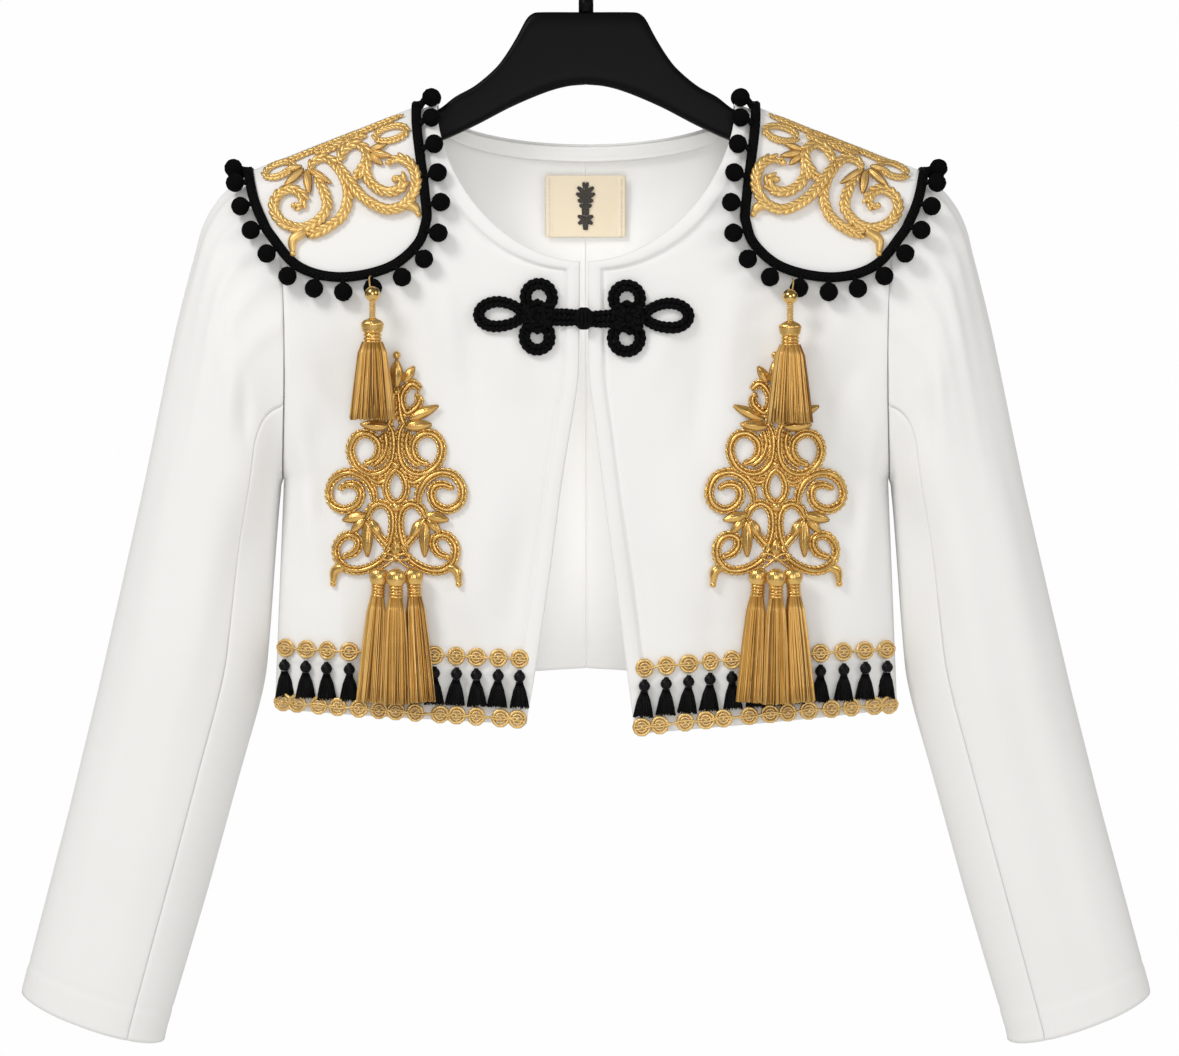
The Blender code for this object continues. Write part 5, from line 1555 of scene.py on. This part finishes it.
def build_rosettes(side, row):
    shape = Shape()
    off = 2.1 if row == "upper" else 3.3
    turn = full_turn(30)
    stations = rosette_stations(row)

    def placed(x, z, height):
        return on_shell(SIGN[side] * np.asarray(x), np.asarray(z), -1,
                        np.full(np.shape(x), height))

    for number, station in enumerate(stations):
        x, z = rosette_row(side, row, station)
        squeeze = 0.97 + 0.04 * math.sin(number * 2.3)
        for radius, thick, up_by in ROSETTE_RINGS:
            ring_x = x + radius * squeeze * np.cos(turn)
            path, up = placed(ring_x, z + radius * np.sin(turn), off + up_by)
            beads = thick * (1 + 0.12 * np.cos(10 * turn))
            tube(shape, path, beads, 6, True, up=up)
        centre, _ = placed([x], [z], off + 0.7)
        ball(shape, centre[0], 1.5, 8, 12)
    share = np.linspace(stations[0] - 0.03, stations[-1] + 0.03, 260)
    x, z = rosette_row(side, row, share)
    phase = np.interp(share, stations, np.arange(len(stations)))
    swing = np.cos(math.pi * phase) * 1.15
    for way in (-1, 1):
        height = z + way * swing
        path, up = placed(x, height, off + 0.9 + 0.35 * way)
        tube(shape, path, 0.72, 5, up=up)
    shape.make(f"gold_rosettes_{row}_{side}", [PALE_GOLD],
               [f"rosette_braid_{row}_{side}"])


BLACK_HEAD = [(0.0, 1.4), (1.2, 1.9), (2.2, 3.2), (4.4, 4.2), (6.6, 3.7), (8.2, 2.3)]
BLACK_TASSEL = BLACK_HEAD + [(9.4, 2.8), (16.0, 5.4), (27.5, 7.6)]


def build_black_fringe(side):
    chance = random.Random(41 if side == "left" else 67)
    shape = Shape()
    head = np.linspace(0, BLACK_HEAD[-1][0], 12)
    head_radii = table(BLACK_HEAD, head)
    for station in rosette_stations("upper"):
        x, z = rosette_row(side, "upper", station)
        start = z - ROSETTE / 2 - 0.9
        ends, _ = on_shell([SIGN[side] * float(x)] * 2, [start, start - 27.5], -1,
                           np.array([3.3, 2.0]))
        lean = ends[1] - ends[0] + np.array([chance.uniform(-0.9, 0.9), 0, 0])
        turned(shape, list(zip(head, head_radii)), ends[0], lean, 18, 0.8)
        rings(shape, ends[0], lean, (7.7, 8.9), 2.3, 0.5, 0.6, 16)
        turned(shape, [(8.4, 1.7), (16.0, 4.2), (26.0, 6.2)], ends[0], lean, 12, 0.34)
        skirt(shape, ends[0], lean, BLACK_TASSEL, 8.6, 40, 0.42, 0.40, chance, uneven=0.9,
              levels=4)
    shape.make(f"black_tassels_{side}", [SILK],
               [f"black_tassel_fringe_{side}"])


# ---- frog closure ----------------------------------------------------------------------
FROG_Z = -284.4
# Loops: distance out of the middle, height, half width, half height of the outer cord
FROG_LOOPS = {
    "left": [(31.8, 15.0, 11.6, 11.4), (33.2, -13.2, 11.4, 11.2), (59.0, 2.6, 17.0, 11.3)],
    "right": [(30.4, 13.8, 11.5, 11.4), (30.4, -14.2, 11.6, 11.3), (58.6, 1.6, 17.2, 11.2)],
}
FROG_STEM = {"left": 0.4, "right": -0.6}
KNOT_HALF = (10.4, 4.8)           # half sizes of the loops woven into the knot
KNOT_LOOPS = [(38, 0.0), (-38, math.pi / 2), (90, 0.7), (0, 2.2)]   # lean, phase of the weave
FROG_BALL = np.array([6.6, 5.4, 8.0])
CORD = 4.3


def frog_cord(shape, side, flat, off, closed):
    x = MIDDLE_X + SIGN[side] * flat[:, 0]
    path, up = on_shell(x, FROG_Z + flat[:, 1], -1, off)
    twist(shape, path, up, 1.02, 1.5, 7.6, closed, 7)
    tube(shape, path, 1.3, 6, closed, up=up)


def build_frog(side):
    shape = Shape()
    for number, (out, high, wide, tall) in enumerate(FROG_LOOPS[side]):
        for inset, lift in ((0.0, 0.0), (CORD * 0.94, 0.35)):
            turn = full_turn(240)
            pinch = 1 - (0.30 if number == 2 else 0.0) * (0.5 - 0.5 * np.cos(turn)) ** 2
            x = out + (wide - inset) * np.cos(turn)
            z = high + (tall - inset) * np.sin(turn) * pinch
            flat = even_loop(np.stack([x, z], axis=1), 0.9)
            frog_cord(shape, side, flat, np.full(len(flat), 2.6 + lift), True)
    middle = (FROG_LOOPS[side][0][0] + 1.2, FROG_STEM[side] + 0.6)
    heart, _ = on_shell([MIDDLE_X + SIGN[side] * middle[0]], [FROG_Z + middle[1]], -1,
                        np.array([2.0]))
    ball(shape, heart[0], (9.6, 3.6, 9.2), 12, 20)
    weave = full_turn(200)
    for lean, start in KNOT_LOOPS:
        flat = oval(*middle, *KNOT_HALF, lean, 200)
        over = 5.0 + 1.5 * np.cos(4 * weave + start)
        flat = even_loop(np.column_stack([flat, over]), 0.9)
        frog_cord(shape, side, flat[:, :2], flat[:, 2], True)
    for row in (-1, 0, 1):
        x = np.linspace(5.2, 25.0, 26)
        z = FROG_STEM[side] + row * CORD * (0.94 - 0.12 * smooth((12 - x) / 6))
        off = 2.8 + 0.5 * (row == 0) + 0.6 * smooth((12 - x) / 4)
        frog_cord(shape, side, np.stack([x, z], axis=1), off, False)
    shape.make(f"frog_cords_{side}", [BLACK], [f"frog_{side}"])


def build_frog_ball():
    shape = Shape()
    centre, _ = on_shell([MIDDLE_X], [FROG_Z - 0.4], -1, np.array([6.2]))
    ball(shape, centre[0], FROG_BALL * 0.84, 14, 20)
    polar = np.linspace(0.25, math.pi - 0.25, 26)
    for longitude in range(-150, 181, 30):
        a = math.radians(longitude + 15)
        tight = 0.853 if longitude % 60 == 0 else 0.84
        path = np.stack([np.sin(polar) * math.sin(a), -np.sin(polar) * math.cos(a),
                         np.cos(polar)], axis=1) * FROG_BALL * tight + centre[0]
        tube(shape, path, 1.5, 8, up=path - centre[0])
    turn = full_turn(24)
    for high in (-6.6, 6.6):
        ring = centre[0] + np.stack([2.6 * np.cos(turn), 2.3 * np.sin(turn),
                                     np.full(24, high)], axis=1)
        tube(shape, ring, 1.0, 6, True, up=(0, 0, 1))
    shape.make("frog_ball_knot", [BLACK], ["frog_ball"])


build_view()
build_light()
build_floor()
for side in SIGN:
    for face in (-1, 1):
        build_panel(side, face)
    for part in ("top", "under"):
        build_sleeve(side, part)
build_neck_facing()
build_label()
build_hanger()
for side in SIGN:
    build_epaulette(side)
    build_pompom_trim(side)
    build_long_tassels(side)
    build_epaulette_tassel(side)
    for face in (-1, 1):
        build_flap_scrolls(side, face)
    build_motif(side)
    for row in ("upper", "lower"):
        build_rosettes(side, row)
    build_black_fringe(side)
    build_frog(side)
build_frog_ball()
